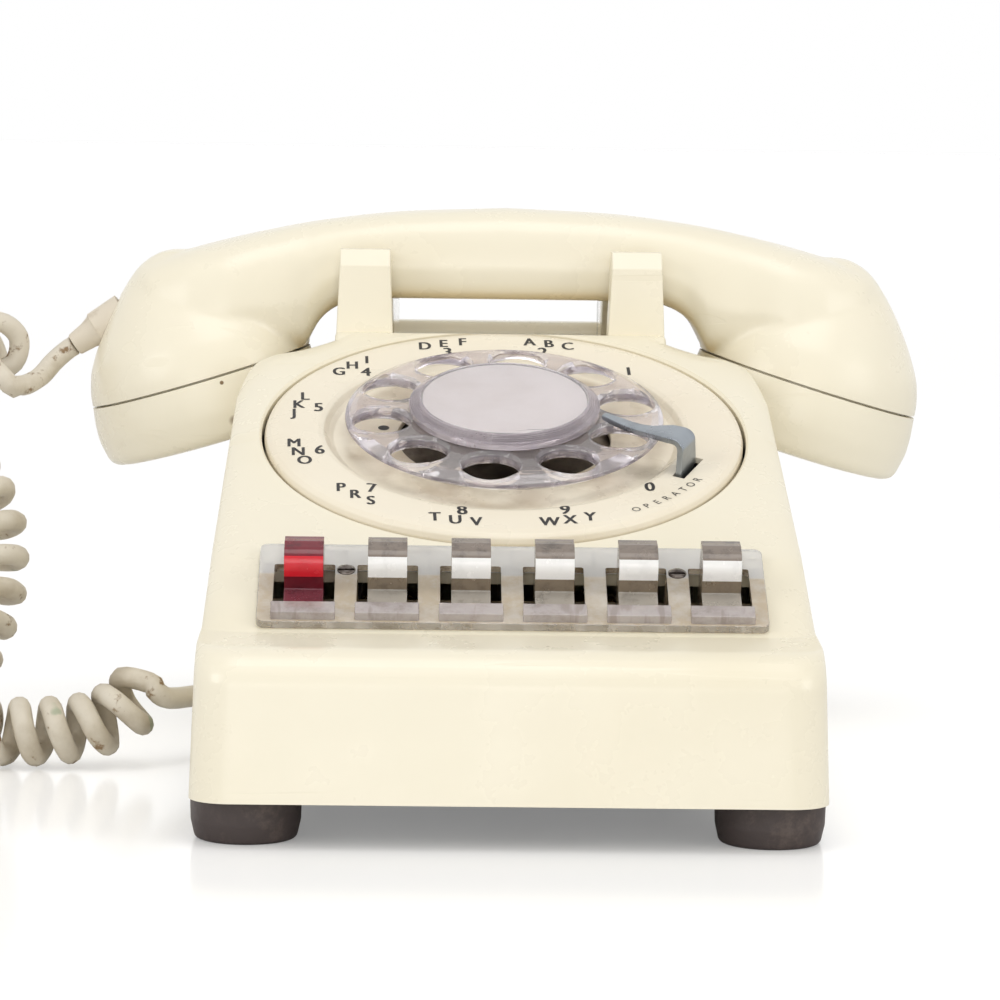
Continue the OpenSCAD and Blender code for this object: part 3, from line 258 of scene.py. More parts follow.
class Sheet:
    # A short way to write a material's nodes
    def __init__(self, material):
        self.tree = material.node_tree
        self.skin = self.tree.nodes["Principled BSDF"]
        self.place = self.node("TexCoord").outputs["Object"]

    def node(self, kind, inputs=(), **settings):
        made = self.tree.nodes.new("ShaderNode" + kind)
        for key, value in settings.items():
            setattr(made, key, value)
        for key, value in dict(inputs).items():
            if hasattr(value, "is_output"):
                wire(self.tree, (value, made.inputs[key]))
            else:
                made.inputs[key].default_value = value
        return made

    def moved(self, place=(0, 0, 0), turn=(0, 0, 0), scale=(1, 1, 1), kind="POINT"):
        inputs = {"Vector": self.place, "Location": place, "Rotation": turn, "Scale": scale}
        return self.node("Mapping", inputs, vector_type=kind).outputs[0]

    def noise(self, scale, detail=4, rough=0.55, at=None, warp=0.0):
        return self.node("TexNoise", {"Vector": at or self.place, "Scale": scale, "Detail": detail,
                                      "Roughness": rough, "Distortion": warp}).outputs["Fac"]

    def band(self, value, low, high, out_low=0.0, out_high=1.0):
        return self.node("MapRange", {"Value": value, "From Min": low, "From Max": high, "To Min": out_low,
                                      "To Max": out_high}, interpolation_type="SMOOTHSTEP").outputs["Result"]

    def sum(self, how, a, b):
        return self.node("Math", {0: a, 1: b}, operation=how).outputs[0]

    def blend(self, share, low, high):
        low, high = ((*c, 1) if isinstance(c, tuple) and len(c) == 3 else c for c in (low, high))
        return self.node("Mix", {0: share, 6: low, 7: high}, data_type="RGBA").outputs[2]

    def near(self, point, reach, soft):
        # 1 within reach of a point, in metres, fading over soft
        gap = self.node("VectorMath", {0: self.place, 1: point}, operation="DISTANCE").outputs["Value"]
        return self.band(gap, reach, reach + soft, 1.0, 0.0)

    def colour(self, value):
        wire(self.tree, (value, self.skin.inputs["Base Color"]))

    def roughness(self, value):
        wire(self.tree, (value, self.skin.inputs["Roughness"]))

    def clouds(self, grain, low, high, bright, dull):
        # A base colour that drifts between two sRGB colours with a noise
        self.colour(self.blend(self.band(self.noise(*grain), low, high), linear(*bright), linear(*dull)))

    def gloss(self, grain, low, high, least, most):
        # A roughness that drifts between two values with a noise
        self.roughness(self.band(self.noise(*grain), low, high, least, most))

    def bump(self, height, depth):
        bump = self.node("Bump", {"Height": height, "Distance": depth, "Strength": 1.0})
        wire(self.tree, (bump.outputs[0], self.skin.inputs["Normal"]))


vinyl = finish("cord_vinyl", 0.5)
s = Sheet(vinyl)
smear = s.band(s.noise(60, 5), 0.4, 0.72)
tone = s.blend(smear, linear(218, 210, 194), linear(188, 176, 154))
tone = s.blend(s.band(s.noise(210, 4, 0.6), 0.6, 0.7), tone, linear(138, 112, 80))
tone = s.blend(s.sum("MULTIPLY", s.band(s.noise(27, 3), 0.6, 0.72), 0.6), tone, linear(150, 138, 118))
stain = s.band(s.noise(75, 2, 0.5, s.moved(place=(0.3, 0.1, 0.2))), 0.7, 0.74)
tone = s.blend(s.sum("MULTIPLY", stain, 0.5), tone, linear(120, 150, 110))
s.colour(tone)
s.gloss([220], 0.3, 0.7, 0.42, 0.6)
s.bump(s.noise(900, 3), 0.0001)
cord.data.materials.append(vinyl)
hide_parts("cord_lead", "cord_hanging_coil", "cord_floor_coil", "cord_tail")
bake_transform(cord)

# ----------------------------------------------------------------- housing
# One injection moulding in ivory ABS, open below, with a wall of 2.8 mm. It has
# a rounded nose, a slope for the keys, a round opening for the dial and a cradle
# block whose four ears hold the handset. Two screws from below hold it down.
wall = 2.8


def eased(table, steps=8):
    # A smooth line through a table that never overshoots, as a denser table
    rise = [(b[1] - a[1]) / (b[0] - a[0]) for a, b in zip(table, table[1:])]
    lean = [rise[0]] + [0 if p * q <= 0 else 2 * p * q / (p + q) for p, q in zip(rise, rise[1:])] + [rise[-1]]
    dense = []
    for (a, b), p, q in zip(zip(table, table[1:]), lean, lean[1:]):
        h = b[0] - a[0]
        for i in range(steps):
            t = i / steps
            dense.append((a[0] + h * t, (1 + 2 * t) * (1 - t) ** 2 * a[1] + t * (1 - t) ** 2 * h * p
                          + t * t * (3 - 2 * t) * b[1] + t * t * (t - 1) * h * q))
    return dense + [table[-1]]


def look_up(x, table):
    # The value at x of a table of straight steps
    if x <= table[0][0]:
        return table[0][1]
    for a, b in zip(table, table[1:]):
        if x <= b[0]:
            return a[1] + (b[1] - a[1]) * (x - a[0]) / (b[0] - a[0])
    return table[-1][1]


def rounded(points, radii, steps=6):
    # A broken line whose inner corners are arcs of these radii
    line = [points[0]]
    for a, b, c, r in zip(points, points[1:], points[2:], radii):
        a, b, c = (Vector(p) for p in (a, b, c))
        u, v = (a - b).normalized(), (c - b).normalized()
        half = u.angle(v) / 2
        reach = r / math.tan(half)
        middle = b + (u + v).normalized() * (r / math.sin(half))
        p, q = b + u * reach - middle, b + v * reach - middle
        turn = p.angle(q)
        for k in range(steps + 1):
            t = k / steps
            swept = (p * math.sin((1 - t) * turn) + q * math.sin(t * turn)) / math.sin(turn)
            line.append(tuple(middle + swept))
    return line + [points[-1]]


nose = [(-114.1 + 9.7 * (1 - math.cos(math.pi * k / 24)), 33.8 + 9 * math.sin(math.pi * k / 24))
        for k in range(12)]
slopes = rounded([(-104.4, 42.79), (-98.4, 43.36), (-92.4, 43.89), (-64.7, 58.004), (44, 100.82),
                  (46.4, 101.52)], [30, 3, 5, 3])
front_line = [(z, y) for y, z in [(-116.5, 10.0), (-115.0, 24.0)] + nose + slopes]
rear_line = eased([(10, 116.5), (30, 113), (45, 105.5), (54, 94.5), (58, 81.5), (60, 72), (62, 58),
                   (66, 51.5), (72, 49.6), (100.82, 48.6), (101.52, 48)])
shoulder_line = [(0, 0)] + eased([(86.82, 0), (91.52, 1.6), (94.02, 3.4), (95.82, 7), (97.12, 14),
                                  (99.82, 23), (101.52, 27)])
levels = sorted({round(z, 3) for z, _ in front_line} | {round(z, 3) for z, _ in rear_line}
                | {round(z, 3) for z, _ in shoulder_line[1:]} | {64.0, 76.0, 80.0, 83.5})
levels = [z for z, after in zip(levels, levels[1:] + [999]) if after - z > 0.04]


def half_width(y, z):
    # The housing narrows a little upwards and to the rear
    return 69.4 - 0.03 * (z - 10) - 0.018 * (y + 116.5)


def level_ring(z, inset, corner=12):
    # The outline of the housing at one height, with rounded corners
    yf, yr = look_up(z, front_line) + inset, look_up(z, rear_line) - inset
    draw = look_up(z, shoulder_line) + inset
    wf, wr = half_width(yf, z) - draw, half_width(yr, z) - draw
    rf, rr = min(9 - inset, (yr - yf) * 0.45), min(14 - inset, (yr - yf) * 0.45)
    corners = ((wf - rf, yf + rf, rf, -90), (wr - rr, yr - rr, rr, 0), (rr - wr, yr - rr, rr, 90),
               (rf - wf, yf + rf, rf, 180))
    arcs = [[(cx + r * math.cos(math.radians(turn + 90 * k / corner)),
              cy + r * math.sin(math.radians(turn + 90 * k / corner)))
             for k in range(corner + 1)]
            for cx, cy, r, turn in corners]
    ring = []
    for arc, following in zip(arcs, arcs[1:] + arcs[:1]):
        a, b = Vector(arc[-1]), Vector(following[0])
        near = min(1.2 / max((b - a).length, 0.1), 0.25)
        ring += arc + [tuple(a.lerp(b, t)) for t in (near, 0.34, 0.66, 1 - near)]
    return ring


def skin_over(name, rings):
    # A closed solid through rings of equal length, given in millimetres
    n = len(rings[0])
    points = [Vector(p) / 1000 for ring in rings for p in ring]
    faces = [(j * n + i, j * n + (i + 1) % n, (j + 1) * n + (i + 1) % n, (j + 1) * n + i)
             for j in range(len(rings) - 1) for i in range(n)]
    faces += [tuple(reversed(range(n))), tuple(range((len(rings) - 1) * n, len(rings) * n))]
    return mesh_object(name, points, faces)


def turned(name, profile, steps=96, at=Matrix.Identity(4)):
    # A solid of revolution about Z: the profile is a closed line of (radius, height), counter-clockwise
    points, faces, rows = [], [], []
    for r, h in profile:
        if r < 1e-6:
            rows.append([len(points)] * steps)
            points.append(at @ Vector((0, 0, h / 1000)))
        else:
            rows.append(list(range(len(points), len(points) + steps)))
            points += [at @ (Vector((r * c, r * s, h)) / 1000) for c, s in circle_of(steps)]
    for a, b in zip(rows, rows[1:] + rows[:1]):
        for k in range(steps):
            corner = [a[k], a[(k + 1) % steps], b[(k + 1) % steps], b[k]]
            face = [p for i, p in enumerate(corner) if p not in corner[:i]]
            if len(face) > 2:
                faces.append(tuple(face))
    return mesh_object(name, points, faces)


def rod(name, radius, low, high, steps, at=Matrix.Identity(4)):
    # A plain round rod along Z; millimetres
    return turned(name, [(0, low), (radius, low), (radius, high), (0, high)], steps, at)


def solid_block(name, corners, bevel=0.0, steps=3, at=Matrix.Identity(4)):
    # The solid that wraps a few corner points, with its edges rounded; millimetres
    shape = bmesh.new()
    for p in corners:
        shape.verts.new(at @ (Vector(p) / 1000))
    bmesh.ops.convex_hull(shape, input=shape.verts)
    bmesh.ops.dissolve_limit(shape, angle_limit=0.01, verts=shape.verts, edges=shape.edges)
    return rounded_off(name, shape, bevel, steps)


def rounded_off(name, shape, bevel, steps):
    # A finished solid from a bmesh, with its edges rounded; millimetres
    if bevel:
        bmesh.ops.bevel(shape, geom=shape.edges[:], offset=bevel / 1000, segments=steps, profile=0.5,
                        affect="EDGES", clamp_overlap=True)
    bmesh.ops.remove_doubles(shape, verts=shape.verts, dist=1e-6)
    bmesh.ops.recalc_face_normals(shape, faces=shape.faces)
    mesh = bpy.data.meshes.new(name)
    shape.to_mesh(mesh)
    shape.free()
    mesh.polygons.foreach_set("use_smooth", [True] * len(mesh.polygons))
    body = bpy.data.objects.new(name, mesh)
    scene.collection.objects.link(body)
    return body


def box_block(name, low, high, bevel=0.0, steps=3, at=Matrix.Identity(4)):
    # A box from one corner to the other; millimetres
    corners = [(x, y, z) for x in (low[0], high[0]) for y in (low[1], high[1]) for z in (low[2], high[2])]
    return solid_block(name, corners, bevel, steps, at)


def bar_of(name, outline, low, high, bevel=0.0, steps=3, at=Matrix.Identity(4)):
    # A flat outline drawn up from low to high, with its edges rounded; millimetres
    shape = bmesh.new()
    foot = [shape.verts.new(at @ (Vector((x, y, low)) / 1000)) for x, y in outline]
    face = shape.faces.new(foot)
    made = bmesh.ops.extrude_face_region(shape, geom=[face])
    top = [v for v in made["geom"] if isinstance(v, bmesh.types.BMVert)]
    bmesh.ops.translate(shape, verts=top, vec=at.to_3x3() @ Vector((0, 0, (high - low) / 1000)))
    return rounded_off(name, shape, bevel, steps)


def settle(body):
    # The piece as its modifiers leave it, as one plain mesh
    bpy.context.view_layer.update()
    done = bpy.data.meshes.new_from_object(body.evaluated_get(bpy.context.evaluated_depsgraph_get()))
    body.modifiers.clear()
    body.data = done
    return body


def combine(body, how, others, solver="EXACT"):
    # Add other solids to a body, or cut them out of it
    for other in others:
        step = body.modifiers.new(how.lower(), "BOOLEAN")
        step.operation, step.object, step.solver = how, other, solver
    settle(body)
    for other in others:
        bpy.data.objects.remove(other)
    return body


def even_light(body, angle=32):
    # Crisp where faces meet at more than this angle, and flat faces shaded flat
    mesh = body.data
    mesh.polygons.foreach_set("use_smooth", [True] * len(mesh.polygons))
    mesh.set_sharp_from_angle(angle=math.radians(angle))
    weigh = body.modifiers.new("weigh", "WEIGHTED_NORMAL")
    weigh.keep_sharp = True
    return settle(body)


dial_centre = Vector((0, -6.002, 82.326)) / 1000
dial_frame = Matrix.Translation(dial_centre) @ Matrix.Rotation(math.radians(20.5), 4, "X")
key_frame = (Matrix.Translation((0, -0.0647, 0.058004)) @ Matrix.Rotation(math.radians(27), 4, "X")
             @ Matrix.Translation((0.0007, 0.0016, 0)))

housing = skin_over("housing_shell", [[(x, y, z) for x, y in level_ring(z, 0)] for z in levels])
inner_levels = [z for z in levels[::2] if z < 97.6] + [98.02]
inside = skin_over("inside", [[(x, y, z - 3.2) for x, y in level_ring(z, wall, 6)] for z in inner_levels])
on_edge = Matrix(((0, 0, 1, 0), (1, 0, 0, 0), (0, 1, 0, 0), (0, 0, 0, 1)))
tower_side = [(38, 56), (38, 96.26), (44, 99.82), (47, 101.42), (50.5, 101.42), (54, 99.02), (94.8, 99.02),
              (96.8, 101.82), (103.8, 101.82), (105.3, 98.82), (106.2, 78.82), (109.8, 56)]
tower = bar_of("cradle_block", tower_side, -41.5, 41.5, 0.9, 3, on_edge)
combine(housing, "UNION", [tower])
combine(housing, "DIFFERENCE", [
    inside,
    box_block("tower_room", (-37.7, 52, 40), (37.7, 85.8, 95.82)),
    box_block("hand_hold", (-30, 89.8, 72.82), (30, 129.8, 92.82), 2.5)])
ear_x, plunger_x, plunger_y = 34.2, 29.4, 78
hole_z, cord_hole_y, line_hole_x = 15.5, 5, 30
extras = []
for side in (-1, 1):
    for y, lean in ((54.7, 1), (97.3, -1)):
        tip = (-1.9, 4.7) if lean > 0 else (-4.7, 1.9)
        extras.append(solid_block("ear", [
            (side * ear_x + a * half, y + b, z) for half, z, depth in (
                (7.3, 96.02, (-5.5, 5.5)), (6.3, 118.1, (-4.9, 5.3)), (6.3, 122.2, tip))
            for a in (-1, 1) for b in depth], 1.1))
    pad_side = ((33.8, 98.02), (40.8, 98.02), (40.8, 106.76), (33.8, 109.02))
    pad = [(side * x, y, z) for y in (55.2, 96.8) for x, z in pad_side]
    extras.append(solid_block("saddle_pad", pad, 0.6))
screw_rows = (-103.5, 100.5)
for y, top in zip(screw_rows, (41.0, 42.0)):
    extras.append(rod("screw_post", 4.5, 11.5, top, 32, Matrix.Translation((0, y / 1000, 0))))
combine(housing, "UNION", extras)


def side_place(x, turn=90):
    # A frame on the axis of the cord's hole, which runs across; millimetres
    place = Matrix.Translation((x / 1000, cord_hole_y / 1000, hole_z / 1000))
    return place @ Matrix.Rotation(math.radians(turn), 4, "Y")


def rear_place(y, turn=90):
    # A frame on the axis of the line's hole, which runs from the rear; millimetres
    place = Matrix.Translation((line_hole_x / 1000, y / 1000, hole_z / 1000))
    return place @ Matrix.Rotation(math.radians(turn), 4, "X")


lip = Matrix.Translation((0, -0.00561, 0.08129)) @ Matrix.Rotation(math.radians(21.5), 4, "X")
cuts = [turned("dial_opening", [(0, -9), (57.85, -9), (57.85, 21), (0, 21)], 128, dial_frame),
        turned("dial_lip", [(0, -0.7), (57.8, -0.7), (58.7, 0.2), (58.7, 3), (0, 3)], 128, lip),
        box_block("key_opening", (-55.5, -27, -8), (55.5, -6.4, 1), 0, 1, key_frame),
        box_block("cord_notch", (-79.2, cord_hole_y - 4.2, 0), (-59.2, cord_hole_y + 4.2, hole_z)),
        rod("cord_hole", 4.2, 0, 20, 32, side_place(-79.2)),
        box_block("line_notch", (line_hole_x - 5.2, 104.5, 0), (line_hole_x + 5.2, 126.5, hole_z)),
        rod("line_hole", 5.2, 0, 22, 32, rear_place(126.5))]
for side in (-1, 1):
    cuts.append(box_block("plunger_hole", (side * plunger_x - 4.2, plunger_y - 5.2, 40),
                          (side * plunger_x + 4.2, plunger_y + 5.2, 113), 0.6))
for y in screw_rows:
    cuts.append(rod("screw_hole", 1.6, 10, 32, 24, Matrix.Translation((0, y / 1000, 0))))
combine(housing, "DIFFERENCE", cuts)
even_light(housing)


def ivory_plastic(name):
    # Moulded ivory plastic: a little yellowed, hazed by handling, with fine scratches and specks
    made = finish(name, 0.3)
    s = Sheet(made)
    yellow = s.band(s.noise(9, 3), 0.42, 0.78)
    haze = s.noise(38, 5, 0.62)
    base = s.blend(s.sum("MULTIPLY", yellow, 0.35), linear(241, 234, 213), linear(228, 217, 184))
    cells = s.node("TexVoronoi", {"Vector": s.place, "Scale": 95.0}).outputs["Distance"]
    speck = s.band(cells, 0.035, 0.06, 1, 0)
    rare = s.band(s.noise(31, 2), 0.62, 0.66)
    base = s.blend(s.sum("MULTIPLY", speck, rare), base, linear(128, 104, 72))
    drawn_out = s.moved(turn=(0.4, 0.3, 0.9), scale=(0.04, 1, 1))
    scratch = s.band(s.noise(130, 2, 0.5, drawn_out, 0.4), 0.655, 0.672)
    s.roughness(s.sum("ADD", s.band(haze, 0.3, 0.75, 0.24, 0.38), s.sum("MULTIPLY", scratch, 0.2)))
    s.bump(s.sum("ADD", s.sum("MULTIPLY", s.noise(420, 3), 0.25), s.sum("MULTIPLY", scratch, -1.0)), 0.00003)
    return made, s, base


shell_plastic, s, base = ivory_plastic("housing_ivory")
s.colour(base)
housing.data.materials.clear()
housing.data.materials.append(shell_plastic)
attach(housing, "base")
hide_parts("housing")

# ------------------------------------------------- number plate of the dial
# A pressed steel ring, enamelled cream, with a sunk well under the finger wheel
# and a slot for the finger stop. Digits and letters are printed on its flat rim.
plate_face = rounded([(25.5, -2.4), (40.7, -2.4), (41.9, -1.5), (43.0, -0.3), (44.3, 0), (53.75, 0),
                      (55.6, -0.25), (56.7, -1.0), (57.15, -2.2), (57.15, -3.8)],
                     [0.8, 1.2, 1.0, 1.2, 3, 1.0, 1.0, 0.8], 4)
turned_dial = dial_frame @ Matrix.Rotation(math.radians(2), 4, "Z")
stop_frame = turned_dial @ Matrix.Rotation(math.radians(-117.5), 4, "Z")
plate = turned("number_plate", [(25.5, -3.8)] + [(25.5, -2.55), (25.65, -2.4)] + plate_face[1:]
               + [(55.75, -3.8), (55.35, -1.9), (53.55, -1.4), (46.7, -1.4), (41.3, -3.8)], 180, turned_dial)
combine(plate, "DIFFERENCE", [box_block("stop_slot", (-5.9, 45.9, -8), (5.9, 49.0, 4), 0, 1, stop_frame)])
even_light(plate, 40)
enamel = finish("cream_enamel", 0.3)
s = Sheet(enamel)
ring = s.moved(tuple(turned_dial.translation), tuple(turned_dial.to_euler()), kind="TEXTURE")
axis = s.node("SeparateXYZ", {"Vector": ring})
flat = s.node("CombineXYZ", {"X": axis.outputs["X"], "Y": axis.outputs["Y"]}).outputs[0]
out = s.node("VectorMath", {0: flat}, operation="LENGTH").outputs["Value"]
# Inside the wheel's rim the cream darkens in noise: dust in the well, and painted shade under the finger
# wheel.
dust_and_shade_under_wheel = s.sum("MULTIPLY", s.band(out, 0.0375, 0.0405, 1, 0), s.band(s.noise(70, 5), 0.35, 0.7))
clean = s.blend(s.band(s.noise(14), 0.4, 0.8), linear(242, 233, 213), linear(232, 220, 196))
s.colour(s.blend(s.sum("MULTIPLY", dust_and_shade_under_wheel, 0.5), clean, linear(170, 148, 112)))
s.gloss([50, 5], 0.3, 0.7, 0.24, 0.36)
s.bump(s.noise(300), 0.00002)
plate.data.materials.append(enamel)
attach(plate, "base")
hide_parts("number_plate")

plate_surface = BVHTree.FromPolygons([v.co for v in plate.data.vertices],
                                     [tuple(f.vertices) for f in plate.data.polygons])
dial_up = turned_dial.to_3x3() @ Vector((0, 0, 1))
ink = finish("printed_black", 0.5)
s = Sheet(ink)
s.clouds([900, 3], 0.6, 0.85, (30, 27, 26), (84, 76, 68))
letters, faces = [], []


def printed(text, radius, clockwise, size, wide=0.62, weight=0.16, lean=0.0):
    # One character on the plate; the angle is clockwise from the top, and lean turns the character
    font = bpy.data.curves.new("print", "FONT")
    font.body, font.size, font.align_x, font.align_y, font.resolution_u = text, 1.0, "CENTER", "CENTER", 4
    holder = bpy.data.objects.new("print", font)
    scene.collection.objects.link(holder)
    bpy.context.view_layer.update()
    outline = bpy.data.meshes.new_from_object(holder.evaluated_get(bpy.context.evaluated_depsgraph_get()))
    flat = bmesh.new()
    flat.from_mesh(outline)
    for k in range(-12, 13):
        for across_line in ((1, 0, 0), (0, 1, 0)):
            everything = flat.verts[:] + flat.edges[:] + flat.faces[:]
            bmesh.ops.bisect_plane(flat, geom=everything, plane_no=across_line,
                                   plane_co=(k * 0.06, k * 0.06, 0))
    bmesh.ops.triangulate(flat, faces=flat.faces)
    flat.verts.index_update()
    a, b = math.radians(90 - clockwise), math.radians(lean)
    for shift in (-weight, weight) if weight else (0,):
        first = len(letters)
        for v in flat.verts:
            u, w = v.co.x * size * wide + shift, v.co.y * size
            x = radius * math.cos(a) + u * math.cos(b) + w * math.sin(b)
            y = radius * math.sin(a) - u * math.sin(b) + w * math.cos(b)
            met = plate_surface.ray_cast(turned_dial @ (Vector((x, y, 9)) / 1000), -dial_up)[0]
            letters.append(met + dial_up * (0.00006 + shift * 0.0001))
        faces.extend(tuple(first + v.index for v in f.verts) for f in flat.faces)
    bpy.data.objects.remove(holder)
    flat.free()


for k, digit in enumerate("1234567890"):
    printed(digit, 45.7, 45.0 - 30 * k, 6.6, 0.74)
for k, group in enumerate(("ABC", "DEF", "GHI", "JKL", "MNO", "PRS", "TUV", "WXY")):
    middle = 15.5 - 30 * k
    reading = 5.5 if abs(middle) <= 80 else -5.5
    for j, letter in enumerate(group):
        printed(letter, 50.8, middle + (j - 1) * reading, 6.2, 0.7)
for j, letter in enumerate("OPERATOR"):
    printed(letter, 52.3, 147.2 - 3.45 * j, 2.9, 0.95, 0.0, 147.2 - 3.45 * j - 180)
target = len(letters)
letters += [turned_dial @ (Vector((-28.6 + 1.35 * c, 5.4 + 1.35 * s, -2.36)) / 1000)
            for c, s in [(0, 0)] + circle_of(24)]
faces += [(target, target + 1 + k, target + 1 + (k + 1) % 24) for k in range(24)]
print_mesh = mesh_object("dial_print", letters, faces, False)
print_mesh.data.materials.append(ink)
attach(print_mesh, "base")

# --------------------------------------------- finger wheel, window and card
# The wheel is one clear acrylic moulding with ten holes and a raised hub. A paper
# card lies on the hub under a clear pressed-on window, whose rim is turned with fine
# grooves; all three turn together on the dial's shaft.
def repeat_tree(name, points, inputs):
    # A Geometry Nodes tree that lays copies of one solid out on points, made real, in one material
    tree = bpy.data.node_groups.new(name, "GeometryNodeTree")
    tree.interface.new_socket("Geometry", in_out="OUTPUT", socket_type="NodeSocketGeometry")
    for label, kind, value in [("Solid", "NodeSocketObject", None),
                               ("Material", "NodeSocketMaterial", None)] + inputs:
        socket = tree.interface.new_socket(label, in_out="INPUT", socket_type=kind)
        if value is not None:
            socket.default_value = value
    made = {kind: tree.nodes.new(kind) for kind in (
        "NodeGroupInput", "NodeGroupOutput", "GeometryNodeObjectInfo", points, "GeometryNodeInstanceOnPoints",
        "GeometryNodeRealizeInstances", "GeometryNodeSetMaterial")}
    given, solid = made["NodeGroupInput"].outputs, made["GeometryNodeObjectInfo"]
    put, real = made["GeometryNodeInstanceOnPoints"], made["GeometryNodeRealizeInstances"]
    painted = made["GeometryNodeSetMaterial"]
    wire(tree, (given["Solid"], solid.inputs["Object"]), (made[points].outputs["Mesh"], put.inputs["Points"]),
         (solid.outputs["Geometry"], put.inputs["Instance"]), (put.outputs["Instances"], real.inputs[0]),
         (real.outputs[0], painted.inputs["Geometry"]), (given["Material"], painted.inputs["Material"]),
         (painted.outputs[0], made["NodeGroupOutput"].inputs[0]))
    return tree, given, made[points], put


def made_real(name, tree, at, values):
    # The tree's own geometry as one plain mesh, placed by a matrix; the modifier does not outlive this call
    holder = bpy.data.objects.new(name, bpy.data.meshes.new(name))
    scene.collection.objects.link(holder)
    step = holder.modifiers.new("repeat", "NODES")
    step.node_group = tree
    for item in tree.interface.items_tree:
        if item.in_out == "INPUT" and item.name in values:
            step[item.identifier] = values[item.name]
    settle(holder)
    holder.data.transform(at)
    solid = values.get("Solid")
    if solid:
        bpy.data.objects.remove(solid)
    return holder


ring_tree, given, circle, put = repeat_tree("ring_of_solids", "GeometryNodeMeshCircle", [
    ("Count", "NodeSocketInt", 10), ("Ring Radius", "NodeSocketFloat", 0.03),
    ("First Angle", "NodeSocketFloat", 0.0)])
index = ring_tree.nodes.new("GeometryNodeInputIndex")
share, spin = (ring_tree.nodes.new("ShaderNodeMath") for _ in range(2))
share.operation, spin.operation = "DIVIDE", "MULTIPLY_ADD"
spin.inputs[1].default_value = 2 * math.pi
facing, about = ring_tree.nodes.new("ShaderNodeCombineXYZ"), ring_tree.nodes.new("GeometryNodeTransform")
wire(ring_tree, (given["Count"], circle.inputs["Vertices"]), (given["Ring Radius"], circle.inputs["Radius"]),
     (index.outputs[0], share.inputs[0]), (given["Count"], share.inputs[1]),
     (share.outputs[0], spin.inputs[0]), (spin.outputs[0], facing.inputs["Z"]),
     (facing.outputs[0], put.inputs["Rotation"]))
real = next(n for n in ring_tree.nodes if n.bl_idname == "GeometryNodeRealizeInstances")
swing = ring_tree.nodes.new("ShaderNodeCombineXYZ")
wire(ring_tree, (given["First Angle"], swing.inputs["Z"]), (swing.outputs[0], about.inputs["Rotation"]),
     (put.outputs["Instances"], about.inputs["Geometry"]), (about.outputs[0], real.inputs[0]))

row_tree, given, line, put = repeat_tree("row_of_solids", "GeometryNodeMeshLine", [
    ("Count", "NodeSocketInt", 6), ("Step", "NodeSocketVector", (0.01, 0, 0)),
    ("Start", "NodeSocketVector", (0, 0, 0))])
wire(row_tree, (given["Count"], line.inputs["Count"]), (given["Step"], line.inputs["Offset"]),
     (given["Start"], line.inputs["Start Location"]))


def ring_of(name, solid, at, count, ring_radius, first_angle=0.0, material=None):
    # Copies of a solid on a circle of three or more, each turned with its place
    return made_real(name, ring_tree, at, {"Solid": solid, "Count": count, "Ring Radius": ring_radius,
                                           "First Angle": first_angle, "Material": material})


def row_of(name, solid, at, count, step, start=(0, 0, 0), material=None):
    # Copies of a solid in a straight row
    return made_real(name, row_tree, at, {"Solid": solid, "Count": count, "Step": step, "Start": start,
                                          "Material": material})


wheel_rim = rounded([(10, 1.4), (36.5, 1.4), (38.1, 2.6), (37.9, 3.5), (35.2, 4.7), (21.3, 4.7),
                     (19.7, 5.7), (19.7, 7.0)], [1.6, 0.5, 0.5, 1.2, 0.6, 0.5], 5)
wheel_profile = [(3.4, -0.2), (10, -0.2)] + wheel_rim + [(3.4, 7.0)]
wheel = turned("finger_wheel", wheel_profile, 144, turned_dial)
hole_wall = rounded([(7.3, 1.4), (6.65, 2.1), (6.65, 3.7), (7.5, 4.7)], [1.2, 1.4], 5)
hole_bit = turned("finger_hole", [(0, 0.6), (7.4, 0.6)] + hole_wall + [(7.6, 5.6), (0, 5.6)], 48)
finger_holes = ring_of("finger_holes", hole_bit, turned_dial, 10, 0.0298, math.radians(45))
combine(wheel, "DIFFERENCE", [finger_holes])
even_light(wheel, 50)


def clear_plastic(name, through=1.0, tint=(0.93, 0.9, 0.9), dull=None, haze=(0.02, 0.12), painted_refraction_streak=0.0):
    # Clear acrylic, hazed and scratched by use; streak paints darker streaks along a wall as painted
    # refraction and caustics
    made = finish(name, 0.05, tint, Transmission_Weight=through, IOR=1.49)
    s = Sheet(made)
    if dull:
        cloud = s.band(s.noise(42, 5, 0.6), 0.38, 0.7)
        if painted_refraction_streak:
            painted_streaks = s.noise(150, 2, 0.5, s.moved(scale=(1, 1, 0.12)))
            cloud = s.sum("MAXIMUM", cloud, s.band(painted_streaks, 0.45, 0.62, 0, painted_refraction_streak))
        s.colour(s.blend(cloud, tint, dull))
    s.gloss([45, 6, 0.65], 0.42, 0.78, haze[0], haze[1])
    scratch = s.band(s.noise(160, 2, 0.5, s.moved(turn=(0.2, 0.5, 0.7), scale=(0.06, 1, 1)), 0.6), 0.64, 0.66)
    s.bump(s.sum("ADD", s.sum("MULTIPLY", scratch, -1.0), s.sum("MULTIPLY", s.noise(55, 3), 0.8)), 0.00005)
    return made


def by_tilt(body, axis, looks, steps):
    # One material for each range of the angle between a face and an axis
    for look in looks:
        body.data.materials.append(look)
    for face in body.data.polygons:
        tilt = math.degrees(math.acos(max(-1, min(1, abs(face.normal.dot(axis))))))
        face.material_index = sum(tilt > step for step in steps)


# Three copies of one clear acrylic, by tilt: the bevels are painted lighter as painted highlights, and the
# walls are painted darker lavender-grey with streaks as painted refraction.
by_tilt(wheel, dial_up, [
    clear_plastic("wheel_face", 0.86, linear(240, 232, 230), linear(214, 203, 202), (0.05, 0.22)),
    clear_plastic("wheel_bevel_painted_highlight", 0.8, linear(250, 247, 248), linear(226, 218, 224), (0.02, 0.08)),
    clear_plastic("wheel_wall_painted_refraction", 0.72, linear(232, 225, 232), linear(176, 168, 180), (0.02, 0.12), 0.9)],
    (14, 62))
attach(wheel, "dial_wheel")
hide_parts("finger_wheel")

